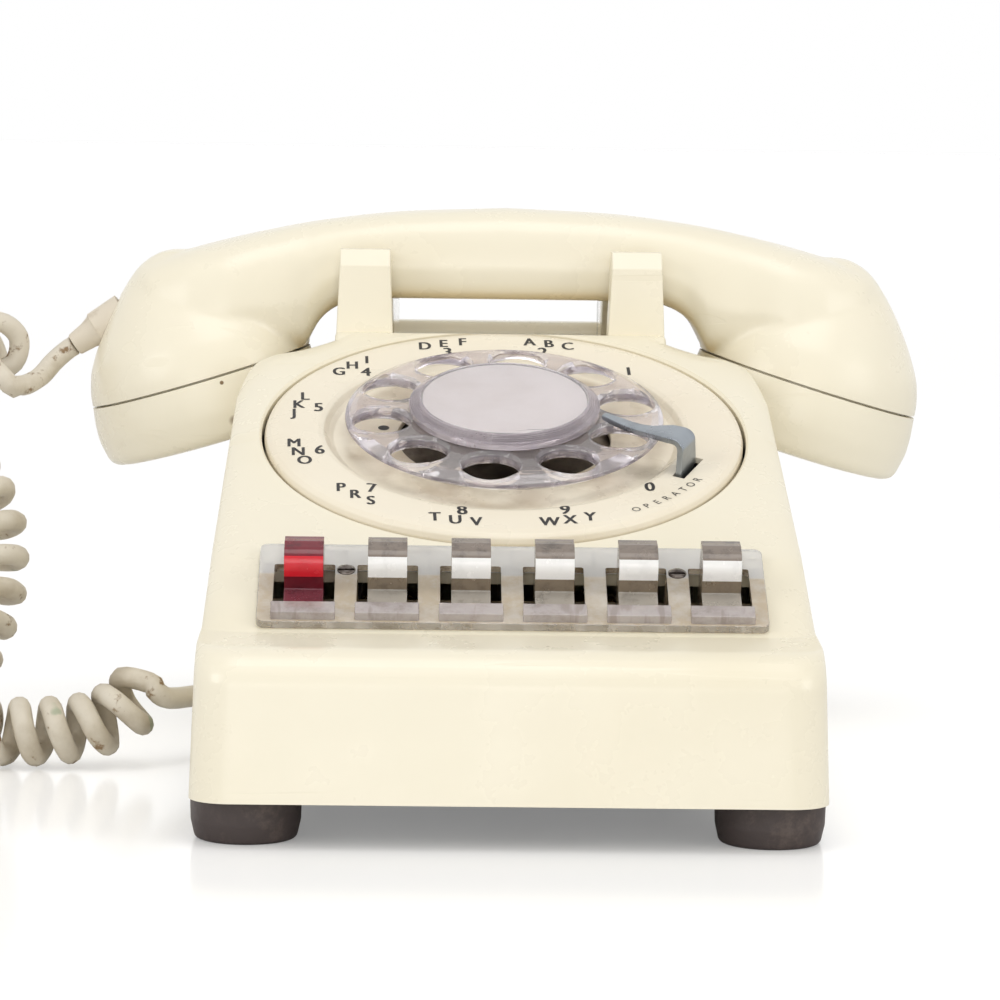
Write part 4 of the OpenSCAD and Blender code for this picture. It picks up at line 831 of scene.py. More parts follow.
window_profile = [(0, 7.72), (19.8, 7.72), (19.93, 7.6), (19.93, 5.92), (22.7, 4.95)]
for k in range(6):
    r, h = 22.78 - 0.42 * k, 6.3 + 0.28 * k
    window_profile += [(r, h), (r - 0.02, h + 0.16), (r - 0.26, h + 0.24), (r - 0.34, h + 0.1)]
window_profile += [(20.28, 7.98), (20.1, 8.08), (19.6, 8.1), (0, 8.1)]
window = turned("card_window", window_profile, 144, turned_dial)
even_light(window, 30)
# The grooved rim is painted darker than the pane, with streaks as painted refraction.
by_tilt(window, dial_up, [
    clear_plastic("window_pane", 0.97, (0.97, 0.955, 0.955), None, (0.01, 0.05)),
    clear_plastic("window_groove_painted_refraction", 0.7, linear(236, 228, 232), linear(190, 180, 188), (0.05, 0.14), 0.5)],
    (6,))
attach(window, "dial_wheel")
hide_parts("card_window")

card = turned("number_card", [(0, 7.2), (19.5, 7.2), (19.6, 7.25), (19.6, 7.45), (19.5, 7.5), (0, 7.5)], 96,
              turned_dial)
paper = finish("card_paper", 0.75)
s = Sheet(paper)
s.clouds([50, 5], 0.4, 0.75, (238, 230, 230), (222, 211, 208))
s.bump(s.noise(700, 4), 0.00004)
card.data.materials.append(paper)
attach(card, "dial_wheel")
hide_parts("number_card")

# ------------------------------------------------------------- finger stop
# A stamped strip of chromed steel: an upright that comes up through the plate's
# slot, bent over into a curved arm that tapers across the wheel to a blunt tip.
arm = [(47.8, -2.4, 3.7), (46.6, -2.9, 4.3), (44.8, -3.1, 4.5), (42.2, -3.0, 4.3), (40.4, -1.9, 4.0),
       (38.2, -0.5, 3.8), (35.4, 0.0, 3.5), (33, -0.3, 2.9), (29.2, -1.2, 1.6), (25, -2.2, -0.4)]
bend = 2.2
centre_line = [(47.05, -4.8), (47.05, 8.05 - bend)] + [
    (47.05 - bend + bend * math.cos(math.radians(a)), 8.05 - bend + bend * math.sin(math.radians(a)))
    for a in range(15, 91, 15)]
centre_line += [(r, 8.05) for r in (43.5, 42.2, 40.4, 38.2, 36.8, 35.4, 33, 31, 29.2, 27, 25.6, 25)]
worn_edge = ((0.35, 0.75), (0.1, 0.65), (0, 0.4))
rings = []
edge_left, edge_right = ([(r, e[k]) for r, *e in sorted(arm)] for k in (0, 1))
for i, (r, h) in enumerate(centre_line):
    if h < 5.8:
        left = look_up(h, [(-4.8, -5.2), (1, -5.1), (5, -4.2), (6, -3.6)])
        right = look_up(h, [(-4.8, 5.2), (1, 5.2), (5, 4.9), (6, 4.6)])
    else:
        left, right = look_up(r, eased(edge_left)), look_up(r, eased(edge_right))
        share = smooth_step((47.3 - r) / 2.4)
        left, right = left * share - 3.6 * (1 - share), right * share + 4.6 * (1 - share)
    ahead_point, behind = centre_line[min(i + 1, len(centre_line) - 1)], centre_line[max(i - 1, 0)]
    way = Vector((ahead_point[0] - behind[0], ahead_point[1] - behind[1])).normalized()
    across_way = Vector((way.y, -way.x))
    ring = []
    tip = 0.35 if i == len(centre_line) - 1 else 0.0
    for x, n in ([(left + 0.35, -0.75)] + [(right - d, -n) for d, n in worn_edge]
                 + [(right - d, n) for d, n in reversed(worn_edge)] + [(left + d, n) for d, n in worn_edge]
                 + [(left + d, -n) for d, n in reversed(worn_edge[1:])]):
        n *= 1 - tip
        ring.append(stop_frame @ (Vector((x, r + across_way.x * n, h + across_way.y * n)) / 1000) * 1000)
    rings.append(ring)
stop = skin_over("finger_stop", rings)
shape = bmesh.new()
shape.from_mesh(stop.data)
bmesh.ops.recalc_face_normals(shape, faces=shape.faces)
shape.to_mesh(stop.data)
foot = box_block("stop_foot", (-5.2, 40.8, -4.8), (5.2, 47.8, -3.9), 0.2, 2, stop_frame)
combine(stop, "UNION", [foot])
even_light(stop, 45)
chrome = finish("stop_steel", 0.3, linear(150, 156, 163), Metallic=1.0)
s = Sheet(chrome)
s.clouds([90, 5], 0.4, 0.8, (158, 164, 170), (112, 116, 122))
s.gloss([140, 5], 0.3, 0.75, 0.24, 0.42)
stop.data.materials.append(chrome)
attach(stop, "base")
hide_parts("finger_stop")

# --------------------------------------------------- key strip and its paper
# A long clear acrylic moulding lies on the key slope, with a slot round each key and
# a raised window block in front of it. A printed paper strip lies under its far edge,
# and two countersunk screws hold it down to the key frame.
key_pitch = 18.5
key_places = [(i - 2.5) * key_pitch for i in range(6)]
stem_y = -14.7
key_step = (key_pitch / 1000, 0, 0)
first_key = (key_places[0] / 1000, 0, 0)
screw_step, first_screw = (0.074, 0, 0), (-0.037, -0.0104, 0)
paper_edge = (-0.0126, -0.0116)


def soft_rectangle(x0, x1, y0, y1, r, steps=5):
    # A rectangle with round corners
    return [(cx + r * math.cos(math.radians(a + 90 * k / steps)),
             cy + r * math.sin(math.radians(a + 90 * k / steps)))
            for cx, cy, a in ((x1 - r, y0 + r, -90), (x1 - r, y1 - r, 0), (x0 + r, y1 - r, 90),
                              (x0 + r, y0 + r, 180))
            for k in range(steps + 1)]


screw_seat = [(0, -1), (1.4, -1), (1.4, 1.1), (2.05, 1.1), (2.2, 3), (0, 3)]
strip = bar_of("key_strip", soft_rectangle(-56.5, 56.5, -31, 0, 1.8), 0, 2.0, 0.7, 3, key_frame)
window_block = box_block("window_block", (-7.1, -30.3, 0.6), (7.1, -25.8, 4.0), 0.35, 2)
combine(strip, "UNION", [row_of("window_blocks", window_block, key_frame, 6, key_step, first_key)])
combine(strip, "DIFFERENCE", [
    row_of("key_slots", bar_of("key_slot", soft_rectangle(-6.8, 6.8, -26, -8.4, 0.5, 2), -1, 5), key_frame, 6,
           key_step, first_key),
    row_of("screw_seats", turned("screw_seat", screw_seat, 32), key_frame, 2, screw_step, first_screw),
    box_block("paper_bed", (-52.5, -11.5, -1), (52.5, -0.6, 0.5), 0, 1, key_frame)])
even_light(strip, 40)
# The slots' walls take darker, browner tones than the rest: painted shade in the slots, with dirt in noise
# between the two tones; the other faces' darker tones are dirt.
for name, through, bright, dirt_and_shade_tone, low, high in (
        ("strip_plate", 1.0, (255, 254, 252), (222, 206, 180), 0.3, 0.6),
        ("strip_block", 0.5, (226, 218, 218), (186, 174, 172), 0.42, 0.75),
        ("strip_slot_wall", 0.4, (196, 182, 162), (112, 92, 70), 0.42, 0.62),
        ("strip_rim", 0.7, (232, 229, 222), (186, 176, 158), 0.45, 0.7)):
    look = finish(name, 0.12, Transmission_Weight=through, IOR=1.49)
    s = Sheet(look)
    dirt = s.band(s.noise(130, 6, 0.7), low, high)
    if name == "strip_plate":
        on_slope = s.moved(tuple(key_frame.translation), tuple(key_frame.to_euler()), kind="TEXTURE")
        upslope = s.node("SeparateXYZ", {"Vector": on_slope})
        near = s.band(upslope.outputs["Y"], *paper_edge, 1, 0)
        dirt = s.sum("MULTIPLY", s.sum("ADD", s.sum("MULTIPLY", dirt, 0.5), 0.5), near)
        # The clear plate keeps a white diffuse share, 0.4 over the paper strip and 0.6 down the slope; over
        # the paper it is painted light that makes the paper read lighter.
        see_through = s.band(upslope.outputs["Y"], *paper_edge, 0.4, 0.6)
        wire(s.tree, (see_through, s.skin.inputs["Transmission Weight"]))
    if name == "strip_block":
        streaks = s.noise(420, 2, 0.5, s.moved(scale=(1, 0.2, 0.2)))
        dirt = s.sum("MAXIMUM", dirt, s.band(streaks, 0.5, 0.66, 0, 0.8))
    s.colour(s.blend(dirt, linear(*bright), linear(*dirt_and_shade_tone)))
    s.gloss([90, 5], 0.35, 0.7, 0.06, 0.24)
    s.bump(s.noise(240, 4), 0.00004)
    strip.data.materials.append(look)
on_strip = key_frame.inverted()
for face in strip.data.polygons:
    spot = on_strip @ face.center * 1000
    facing = on_strip.to_3x3() @ face.normal
    near_key = min(abs(spot.x - x) for x in key_places) < 6.9 and -26.1 < spot.y < -8.3
    in_slot, on_rim = near_key and abs(facing.z) < 0.5 and spot.z < 2.05, facing.z < 0.9 and spot.z > 0.1
    face.material_index = 2 if in_slot else 1 if spot.z > 2.02 else 3 if on_rim else 0
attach(strip, "base")
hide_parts("key_strip")

paper_strip = box_block("paper_strip", (-52.1, -11.2, 0.05), (52.1, -1.2, 0.35), 0, 1, key_frame)
paper_slot = box_block("key_slot", (-7.1, -27, -1), (7.1, -8.1, 2))
combine(paper_strip, "DIFFERENCE", [
    row_of("key_slots", paper_slot, key_frame, 6, key_step, first_key),
    row_of("screw_seats", rod("screw_seat", 1.8, -1, 4, 24), key_frame, 2, screw_step, first_screw)])
strip_paper = finish("strip_paper", 0.8)
s = Sheet(strip_paper)
rule_width = 0.0004
first_rule = key_step[0] * 2 + rule_width / 2 - 0.0007
along = s.node("SeparateXYZ", {"Vector": s.moved(place=(first_rule, 0, 0))}).outputs["X"]
line = s.node("Math", {0: along, 1: key_step[0], 2: 0.0}, operation="WRAP").outputs[0]
ruled = s.node("Math", {0: line, 1: rule_width}, operation="LESS_THAN").outputs[0]
clean = s.blend(s.band(s.noise(60, 5), 0.45, 0.8), linear(250, 249, 247), linear(228, 222, 212))
s.colour(s.blend(ruled, clean, linear(84, 84, 92)))
paper_strip.data.materials.append(strip_paper)
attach(paper_strip, "base")
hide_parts("designation_strip")

screw_side = [(0, -8.7), (1.2, -8.7), (1.2, 1.3), (1.75, 1.3), (1.9, 1.5), (1.85, 1.95), (1.5, 2.1), (0, 2.1)]
strip_screw = turned("strip_screw", screw_side, 32)
combine(strip_screw, "DIFFERENCE", [box_block("screw_slot", (-3, -0.32, 1.65), (3, 0.32, 3))])
dark_screw = finish("dull_screw", 0.5, Metallic=0.85)
s = Sheet(dark_screw)
s.clouds([500, 4], 0.42, 0.62, (112, 104, 98), (58, 48, 42))
s.gloss([700, 3], 0.35, 0.7, 0.35, 0.6)
screws = row_of("strip_screws", strip_screw, key_frame, 2, screw_step, first_screw, dark_screw)
even_light(screws, 35)
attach(screws, "base")
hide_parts("strip_screws")

# ----------------------------------------------------------------- six keys
# Each key is a moulded acrylic cap on a square stem, with a dished top, a broad
# bevel towards the user and a low toe that runs in the strip's slot. Five are clear
# over a white lamp cup; the first, which holds a call, is red.
key_side = [(-25.1, -5.2), (-10.2, -5.2), (-10.2, 10.69)]
key_side += [(-10.2 - 0.85 * k, 25.8 - math.sqrt(15.4 ** 2 - (3 + 0.85 * k) ** 2)) for k in range(1, 4)]
key_side += [(-13.8, 11.76), (-16.2, 11.8)]
key_side += [(-16.5 - 3.6 * math.sin(math.radians(a)), 8.2 + 3.6 * math.cos(math.radians(a)))
             for a in range(9, 91, 9)]
key_side += [(-20.1, 6.5), (-20.1, 3.3), (-20.25, 3.15), (-25.1, 3.15)]
for i, x in enumerate(key_places, 1):
    at = key_frame @ Matrix.Translation((x / 1000, 0, 0)) @ on_edge
    cap = bar_of(f"key_cap_{i}", key_side, -4.35, 4.35, 0.28, 2, at)
    combine(cap, "UNION", [
        box_block("stem", (x - 3.2, stem_y - 2.6, -15.2), (x + 3.2, stem_y + 2.6, -5), 0, 1, key_frame),
        box_block("flange", (x - 4.6, stem_y - 3.6, -15.2), (x + 4.6, stem_y + 3.6, -13.8), 0.2, 1, key_frame),
        turned("pin", [(0, -19.2), (1.0, -19.2), (1.2, -18.8), (1.2, -14.7), (0, -14.7)], 20,
               key_frame @ Matrix.Translation((x / 1000, stem_y / 1000, 0)))])
    even_light(cap, 32)
    # Four copies of one acrylic by face direction: the bevel band is painted bright as painted light from
    # inside the key, the top is painted dark grey-brown as painted shade with dirt, the front is painted
    # darker as painted shade, and the toe takes its own lighter tone.
    painted_light_tones = (((118, 12, 34), (214, 30, 46), (104, 10, 28), (150, 70, 84)) if i == 1 else
             ((132, 120, 110), (246, 245, 244), (150, 134, 114), (214, 206, 194)))
    for part, tone in zip(("top", "bevel", "front", "toe"), painted_light_tones):
        through_part = {"toe": 0.45, "front": 0.3 if i > 1 else 0.1}.get(part, 0.05)
        key_look = finish(f"key_{i}_{part}", 0.16, Transmission_Weight=through_part, IOR=1.49)
        s = Sheet(key_look)
        dirt = s.band(s.noise(240, 5, 0.65, s.moved(place=(i * 0.013, 0, 0))), 0.46, 0.7)
        grime = s.sum("MULTIPLY", dirt, {"top": 0.7, "bevel": 0.12}.get(part, 0.45))
        s.colour(s.blend(grime, linear(*tone), linear(*(c * 0.6 for c in tone))))
        s.gloss([300, 4], 0.35, 0.7, 0.1, 0.3)
        s.bump(s.noise(400, 3), 0.00003)
        cap.data.materials.append(key_look)
    for face in cap.data.polygons:
        facing = on_strip.to_3x3() @ face.normal
        height = (on_strip @ face.center).z * 1000
        tilt = math.degrees(math.atan2(-facing.y, facing.z))
        below_band = abs(facing.x) > 0.7 or facing.y > 0.5 or height < 6.5
        face.material_index = 3 if height < 3.6 else 2 if below_band else 0 if tilt < 38 else 1
    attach(cap, f"key_{i}")
    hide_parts(f"key_{i}")

# ------------------------------------------------------------------ handset
# The handle is one hollow ivory moulding: an arched grip that swells into a round
# hood at each end. The cap that screws on under each hood continues its outline
# and holds the receiver or the transmitter behind a ring of small holes.
crown_drop = eased([(0, 0), (25, 1), (48, 3.7), (63, 6.7), (71, 8.6), (78.5, 10.6), (86, 13), (92, 15.3),
                    (95, 16.3)], 6)
under_drop = eased([(0, 0), (36, 0), (40, 0.9), (44, 2.6), (47, 5), (49.2, 8.2), (50.6, 12), (56, 12.6),
                    (95, 12.6)], 6)
side_grow = eased([(0, 0), (38, 0), (44.5, 0.2), (50, 1.4), (60, 3.6), (72, 6.6), (80, 6), (86, 3.8),
                   (91.5, 0.6), (94.6, -5)], 6)
section = eased([(0, 0.6), (1, 0.8), (2, 0.94), (3, 1.0)], 3)[:-1]
section += eased([(3, 1.0), (4, 0.965), (5, 0.9), (6, 0.8), (7, 0.62), (8, 0.34), (9, 0)], 3)
heights = eased([(0, 0), (1, 0.02), (2, 0.14), (3, 0.36)], 3)[:-1]
heights += eased([(3, 0.36), (4, 0.5), (5, 0.67), (6, 0.81), (7, 0.92), (8, 0.985), (9, 1)], 3)
handset_x, handset_y = 1.8, 76
seam_x, seam_z, cap_tilt = 78.22, 88.32, math.radians(17)
rings = []
for k in range(-63, 64):
    x = k * 1.5
    a = abs(x)
    top = 132.32 - look_up(a, crown_drop)
    over_seam = seam_z + 0.3 + (seam_x - a) * math.tan(cap_tilt) if a > 50 else 0
    low = max(109.22 - look_up(a, under_drop), over_seam)
    half = 14.8 + look_up(a, side_grow)
    shape = [(g[1] * half, low + c[1] * (top - low)) for g, c in zip(section, heights)]
    shape += [(-y, z) for y, z in reversed(shape[:-1])]
    rings.append([(x + handset_x, y + handset_y, z) for y, z in shape])
grip = skin_over("handset_grip", rings)
shape = bmesh.new()
shape.from_mesh(grip.data)
hood_line = eased([(0, 29), (2.5, 28.75), (5, 28.1), (8.5, 26.9), (11.8, 25), (15, 22.9), (18.5, 20.3),
                   (22, 17.4), (25.6, 14), (28.4, 11), (30.8, 8), (32.7, 4), (33.5, 0)], 3)
cap_frames, cap_depth = {}, {-1: 16.2, 1: 17.6}
for side in (-1, 1):
    seam_centre = ((handset_x + side * seam_x) / 1000, handset_y / 1000, seam_z / 1000)
    cap_frames[side] = Matrix.Translation(seam_centre) @ Matrix.Rotation(side * cap_tilt, 4, "Y")
    t = cap_depth[side]
    cup_edge = rounded([(21, -t - 0.5), (28.6, -t + 0.2), (29.9, -t * 0.55)], [3.2], 6)
    cup = [(0, -t - 0.8), (12, -t - 0.7)] + cup_edge + [(29.75, -t * 0.3), (29.3, -t * 0.12), (29, 0)]
    hood = turned("hood", cup + [(r, z) for z, r in hood_line[1:]], 96, cap_frames[side])
    shape.from_mesh(hood.data)
    bpy.data.objects.remove(hood)
bmesh.ops.recalc_face_normals(shape, faces=shape.faces)
shape.to_mesh(grip.data)
shape.free()
fuse = grip.modifiers.new("fuse", "REMESH")
fuse.mode, fuse.voxel_size, fuse.use_smooth_shade = "VOXEL", 0.00095, True
ease = grip.modifiers.new("ease", "SMOOTH")
ease.factor, ease.iterations = 0.5, 7
settle(grip)


def copy_of(body, name):
    # The same solid under another name
    twin = bpy.data.objects.new(name, body.data.copy())
    scene.collection.objects.link(twin)
    return twin


handset_ivory, s, base = ivory_plastic("handset_ivory")
# Noise patches darken the handset towards the bottom, below about 80 mm.
rubbed = s.band(s.noise(95, 6, 0.7, s.moved(scale=(1, 1, 0.6))), 0.6, 0.72)
toward_bottom = s.band(s.node("SeparateXYZ", {"Vector": s.place}).outputs["Z"], 0.066, 0.08, 1, 0)
base = s.blend(s.sum("MULTIPLY", s.sum("MULTIPLY", rubbed, toward_bottom), 0.4), base, linear(176, 156, 118))
for spot, reach, shade in (((-0.0665, 0.047, 0.079), 0.0006, (110, 84, 56)),
                           ((-0.083, 0.052, 0.1115), 0.0008, (176, 140, 92)),
                           ((0.0752, 0.05, 0.0755), 0.0007, (150, 124, 86))):
    base = s.blend(s.sum("MULTIPLY", s.near(spot, reach, 0.0012), 0.7), base, linear(*shade))
# Where the handle's faces look down it turns golden: painted shade under the handle.
under = s.band(s.node("Attribute", attribute_name="underside").outputs["Fac"], 0.2, 0.75, 0, 0.55)
base = s.blend(under, base, linear(206, 180, 126))
s.colour(base)
for side, name in ((-1, "transmitter_cap"), (1, "receiver_cap")):
    at, t = cap_frames[side], cap_depth[side]
    cap = copy_of(grip, name)
    below_seam = [(0, -30), (45, -30), (45, -0.3), (23.8, -0.3), (23.8, -t + 2.8), (0, -t + 2.8)]
    combine(cap, "INTERSECT", [turned("below_seam", below_seam, 64, at)])
    neck = [(23.9, -2), (26.4, -2), (26.4, 5.2), (26, 5.6), (23.9, 5.6)]
    combine(cap, "UNION", [turned("cap_neck", neck, 96, at)])
    r = 1.3 if side < 0 else 1.1
    bit = [(0, -t - 2), (r + 0.6, -t - 2), (r + 0.6, -t - 0.7), (r, -t), (r, -t + 7), (0, -t + 7)]
    rows = ((6, 0.0064), (12, 0.0128)) if side < 0 else ((6, 0.006),)
    holes = [turned("centre_hole", bit, 20, at)]
    holes += [ring_of("sound_holes", turned("sound_hole", bit, 20), at, count, reach)
              for count, reach in rows]
    combine(cap, "DIFFERENCE", holes, "MANIFOLD")
    even_light(cap, 40)
    cap.data.materials.clear()
    cap.data.materials.append(handset_ivory)
    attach(cap, "handset")
    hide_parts(name)
grommet_frame = Matrix.Translation((-0.1024, 0.076, 0.1003)) @ Matrix.Rotation(math.radians(-125), 4, "Y")
cap_room = [(0, -30), (45, -30), (45, 0.3), (26.5, 0.3), (26.5, 6.8), (20.5, 6.8), (20.5, 12), (10, 17),
            (0, 17)]
rooms = [turned("cap_room", cap_room, 96, cap_frames[side]) for side in (-1, 1)]
combine(grip, "DIFFERENCE", rooms + [rod("grommet_hole", 4.8, -9, 8, 48, grommet_frame)])
grip.name = "handset_body"
even_light(grip, 40)
# How far each point of the handle faces down, kept for the painted shade under it.
grip.data.attributes.new("underside", "FLOAT", "POINT").data.foreach_set("value", [
    max(0.0, -v.normal.z) if abs(v.co.x) < 0.06 else 0.0 for v in grip.data.vertices])
grip.data.materials.clear()
grip.data.materials.append(handset_ivory)
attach(grip, "handset")
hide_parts("handset_handle")

collar = turned("handset_grommet", [(0, -7.6), (4.7, -7.6), (4.7, 0.9), (4.2, 1.4), (3.5, 3.6), (3.0, 7.7),
                                    (2.8, 8.0), (0, 8.0)], 48, grommet_frame)
even_light(collar, 40)
rubber = finish("grommet_vinyl", 0.5)
s = Sheet(rubber)
s.clouds([200, 5], 0.5, 0.8, (222, 212, 194), (182, 166, 142))
s.gloss([150], 0.3, 0.7, 0.42, 0.6)
collar.data.materials.append(rubber)
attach(collar, "handset")
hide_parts("handset_grommet")

# --------------------------------------------- base plate, feet and screws
# A galvanised steel plate closes the housing from below. Four black rubber feet snap
# into it by a neck, and two slotted pan screws pull the housing down on its posts.
def dress(look, *nodes):
    # A CAD node whose shape is right keeps its mesh and takes a better material
    for node in nodes:
        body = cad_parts[node]
        if not body.material_slots:
            body.data.materials.append(look)
        for place in body.material_slots:
            place.material = look


def worn_metal(name, bright, dull, rough=0.32, grain=60, metallic=1.0):
    # Bare or plated metal, dulled in clouds, with a fine surface
    made = finish(name, rough, Metallic=metallic)
    s = Sheet(made)
    s.clouds([grain, 5], 0.4, 0.72, bright, dull)
    s.gloss([grain * 3, 5], 0.3, 0.72, rough - 0.08, rough + 0.14)
    s.bump(s.noise(grain * 9, 3), 0.00003)
    return made


dress(worn_metal("galvanised_plate", (168, 170, 168), (126, 124, 118), 0.45, 34), "base_plate")
foot_side = rounded([(9.2, 0), (11.1, 0), (12.05, 4.2), (12.2, 9.3), (11.9, 10)], [1.3, 4, 0.3], 5)
rubber_foot = [(3, 2.5), (8, 2.5), (8.9, 0.2)] + foot_side
rubber_foot += [(11.9, 10), (2, 10), (2, 11.9), (0, 11.9), (0, 4), (3, 4)]
feet, rear_feet = (
    row_of(name, turned("foot", rubber_foot, 72), Matrix.Identity(4), 2, (spread, 0, 0), (-spread / 2, y, 0))
    for name, spread, y in (("feet", 0.1145, -0.09975), ("rear_feet", 0.1043, 0.09925)))
combine(feet, "UNION", [rear_feet])
even_light(feet, 40)
black_rubber = finish("foot_rubber", 0.55)
s = Sheet(black_rubber)
scuff = s.band(s.noise(110, 6, 0.7), 0.5, 0.72)
s.colour(s.blend(scuff, linear(66, 56, 54), linear(92, 80, 74)))
s.gloss([80, 5], 0.3, 0.7, 0.42, 0.66)
s.bump(s.noise(600, 4), 0.00008)
feet.data.materials.clear()
feet.data.materials.append(black_rubber)
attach(feet, "base")
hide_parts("feet")

pan_head = [(4 * math.sin(math.radians(a)), 9.6 - 1.8 * math.cos(math.radians(a))) for a in range(15, 91, 15)]
pan_screw = turned("pan_screw", [(0, 7.8)] + pan_head + [(4, 9.8), (1.5, 9.8), (1.5, 29.4), (0, 29.4)], 40)
combine(pan_screw, "DIFFERENCE", [box_block("slot", (-5, -0.6, 7), (5, 0.6, 8.8))])
plated_screw = worn_metal("plated_screw", (140, 136, 128), (84, 78, 70), 0.42, 200)
screw_gap = (screw_rows[1] - screw_rows[0]) / 1000
screws = row_of("housing_screws", pan_screw, Matrix.Identity(4), 2, (0, screw_gap, 0),
                (0, screw_rows[0] / 1000, 0), plated_screw)
even_light(screws, 35)
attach(screws, "base")
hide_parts("housing_screws")

# ------------------------------------------------------------ dial mechanism
# Behind the plate a pressed steel pan carries the shaft, a brass main gear, a fly
# governor in its cup, and the pulse springs on a stack of insulators.
dress(worn_metal("dial_pan_steel", (122, 112, 98), (72, 60, 46), 0.4, 90), "dial_case")
dress(worn_metal("shaft_steel", (176, 176, 172), (132, 128, 122), 0.28, 120), "dial_shaft", "dial_screws")
dress(worn_metal("gear_brass", (196, 158, 92), (150, 112, 58), 0.3, 80), "main_gear", "governor")
dress(worn_metal("cup_steel", (158, 158, 154), (112, 108, 100), 0.36, 70), "governor_cup")
dress(worn_metal("spring_bronze", (190, 140, 96), (140, 96, 62), 0.34, 140), "pulse_springs", "key_contacts",
      "hook_contacts")

# ----------------------------------------------------- key frame and springs
# The keys' stems pass through a folded steel channel, and each stands on a coil
# spring of music wire between its flange and the channel's floor.
dress(worn_metal("key_channel_steel", (206, 190, 164), (168, 148, 118), 0.5, 60, 0.15), "key_frame")
spring_tree = bpy.data.node_groups.new("coil_spring", "GeometryNodeTree")
spring_tree.interface.new_socket("Geometry", in_out="OUTPUT", socket_type="NodeSocketGeometry")
for label, kind, value in (("Turns", "NodeSocketFloat", 7.0), ("Radius", "NodeSocketFloat", 0.0028),
                           ("Length", "NodeSocketFloat", 0.009), ("Wire Radius", "NodeSocketFloat", 0.0003),
                           ("Material", "NodeSocketMaterial", None)):
    socket = spring_tree.interface.new_socket(label, in_out="INPUT", socket_type=kind)
    if value is not None:
        socket.default_value = value
given, coil, wire_round, drawn, painted, out = (spring_tree.nodes.new(kind) for kind in (
    "NodeGroupInput", "GeometryNodeCurveSpiral", "GeometryNodeCurvePrimitiveCircle",
    "GeometryNodeCurveToMesh", "GeometryNodeSetMaterial", "NodeGroupOutput"))
coil.inputs["Resolution"].default_value, wire_round.inputs["Resolution"].default_value = 28, 8
drawn.inputs["Fill Caps"].default_value = True
given = given.outputs
wire(spring_tree, (given["Turns"], coil.inputs["Rotations"]), (given["Radius"], coil.inputs["Start Radius"]),
     (given["Radius"], coil.inputs["End Radius"]), (given["Length"], coil.inputs["Height"]),
     (given["Wire Radius"], wire_round.inputs["Radius"]), (coil.outputs[0], drawn.inputs["Curve"]),
     (wire_round.outputs[0], drawn.inputs["Profile Curve"]),
     (drawn.outputs[0], painted.inputs["Geometry"]), (given["Material"], painted.inputs["Material"]),
     (painted.outputs[0], out.inputs[0]))
music_wire = worn_metal("music_wire", (168, 166, 160), (120, 112, 100), 0.3, 160)
for i, x in enumerate(key_places, 1):
    seat = key_frame @ Matrix.Translation((x / 1000, stem_y / 1000, -0.0243))
    spring = made_real(f"key_spring_{i}", spring_tree, seat, {
        "Turns": 7.0, "Radius": 0.0028, "Length": 0.0085, "Wire Radius": 0.00033, "Material": music_wire})
    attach(spring, "base")
    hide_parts(f"key_spring_{i}")
    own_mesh(spring)

# ------------------------------------------------------------- cradle switch
# Two clear plungers stand in the cradle beside the front ears. Their feet rest on a
# U-shaped steel lever whose axle runs in a stamped bridge over the switch springs.
plunger_clear = finish("plunger_acrylic", 0.04, (0.97, 0.965, 0.95), Transmission_Weight=1.0, IOR=1.49)
s = Sheet(plunger_clear)
s.gloss([120, 5], 0.35, 0.75, 0.03, 0.14)
dress(plunger_clear, "plunger_left", "plunger_right")
dress(worn_metal("lever_steel", (158, 156, 150), (116, 110, 100), 0.36, 70), "hook_lever", "hook_bracket")

# ------------------------------------------------------------- network block
# The speech network is sealed in a dark phenolic block, with two rows of slotted
# brass screw terminals that take the spade ends of the wires.
phenolic = finish("network_phenolic", 0.5)
s = Sheet(phenolic)
s.clouds([60, 5], 0.42, 0.75, (66, 58, 52), (92, 80, 68))
s.bump(s.noise(500, 3), 0.00004)
dress(phenolic, "network_block")
terminal_side = [(0, -4), (1.35, -4), (1.35, 0.1), (2.6, 0.1), (2.8, 0.3), (2.75, 1.2), (2.2, 1.65), (0, 1.7)]
terminal = turned("terminal", terminal_side, 28)
combine(terminal, "DIFFERENCE", [box_block("slot", (-4, -0.35, 1.1), (4, 0.35, 3))])
terminal_brass = worn_metal("terminal_brass", (190, 180, 150), (150, 134, 96), 0.3, 200)
again = copy_of(terminal, "terminal")
terminal_step = (0.0096, 0, 0)
terminals, far_terminals = (
    row_of(name, solid, Matrix.Translation((-0.013, y, 0.0354)), 6, terminal_step, (0, 0, 0), terminal_brass)
    for name, solid, y in (("network_terminals", terminal, -0.038), ("far_terminals", again, -0.010)))
combine(terminals, "UNION", [far_terminals])
even_light(terminals, 35)
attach(terminals, "base")
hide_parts("network_terminals")

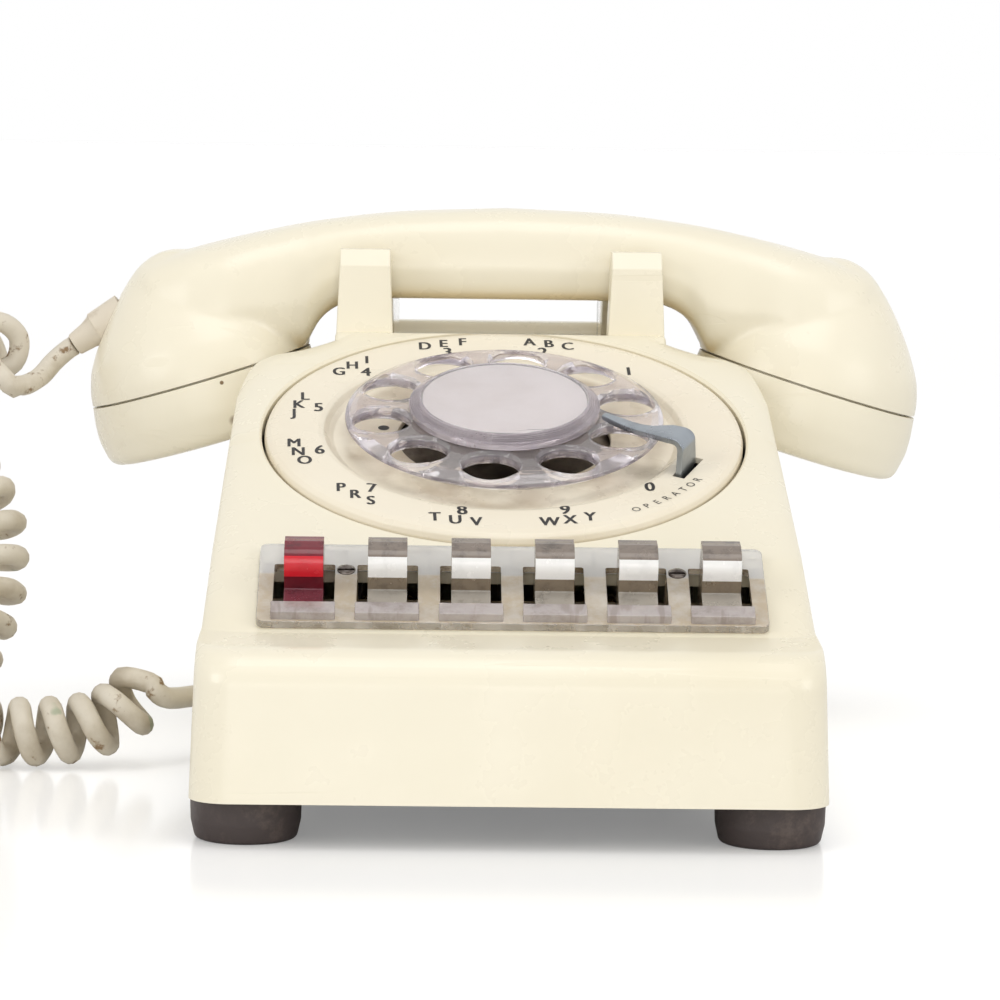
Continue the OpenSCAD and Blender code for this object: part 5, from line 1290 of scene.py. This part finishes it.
# -------------------------------------------------------------------- ringer
# Two brass gongs stand on posts at the rear. A coil under lacquered paper drives a
# clapper between them, and a thumb wheel in the base plate sets how loud it is.
gong_brass = worn_metal("gong_brass", (206, 172, 104), (164, 128, 70), 0.24, 40)
gong_hole = 2.1
bell = [(max(radius * math.cos(math.radians(a)), gong_hole), height * (1 - math.cos(math.radians(a)) ** 2))
        for radius, height, angles in ((21, 13, range(0, 91, 5)), (19.8, 11.8, range(85, -1, -5)))
        for a in angles]
for side, name in ((-1, "gong_left"), (1, "gong_right")):
    gong = turned(name + "_bell", [p for i, p in enumerate(bell) if i == 0 or p != bell[i - 1]], 96,
                  Matrix.Translation((side * 0.025, 0.084, 0.0194)))
    even_light(gong, 45)
    gong.data.materials.append(gong_brass)
    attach(gong, "base")
    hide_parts(name)
dress(worn_metal("ringer_steel", (160, 158, 150), (118, 110, 98), 0.4, 60), "ringer_frame", "clapper")
lacquer = finish("coil_lacquer", 0.35)
s = Sheet(lacquer)
turns = s.node("TexWave", {"Vector": s.place, "Scale": 320.0, "Distortion": 0.6},
               bands_direction="X").outputs["Fac"]
s.colour(s.blend(turns, linear(96, 52, 30), linear(146, 86, 48)))
s.bump(turns, 0.0001)
dress(lacquer, "ringer_coil")
thumb = finish("thumb_wheel_plastic", 0.45)
s = Sheet(thumb)
s.clouds([90, 5], 0.45, 0.75, (44, 42, 42), (70, 66, 62))
dress(thumb, "loudness_wheel")

# ------------------------------------------- capsules and the cord's grommets
# The transmitter and the receiver are sealed capsules in aluminium cups, held by
# the caps. The cord passes the housing through a vinyl bush; the rear bush is black.
dress(worn_metal("capsule_aluminium", (190, 188, 182), (150, 146, 138), 0.34, 70), "transmitter_unit")
dress(worn_metal("capsule_dark", (104, 100, 96), (74, 70, 66), 0.42, 70), "receiver_unit")
bush_side = [(2.7, -7), (5.5, -7), (5.6, -6.9), (5.6, -3.4), (5.5, -3.3), (4.0, -3.1), (4.0, 0.2),
             (5.1, 0.4), (5.2, 0.6), (5.0, 1.9), (4.0, 3.3), (3.8, 3.4), (2.7, 3.4)]
side_bush = turned("side_bush", bush_side, 48, side_place(-67.048, -90))
even_light(side_bush, 40)
side_bush.data.materials.append(rubber)
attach(side_bush, "base")
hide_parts("side_grommet")
bush_side = [(2.6, -3.9), (0.05, -4.1), (0, -8), (6.7, -8), (6.8, -7.9), (6.8, -3.8), (6.7, -3.7), (5, -3.5),
             (5, 2.1), (4.3, 3), (2.8, 3), (2.6, 2.8)]
rear_bush = turned("rear_bush", bush_side, 48, rear_place(114.3, -90))
even_light(rear_bush, 40)
rear_bush.data.materials.append(black_rubber)
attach(rear_bush, "base")
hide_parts("rear_grommet")
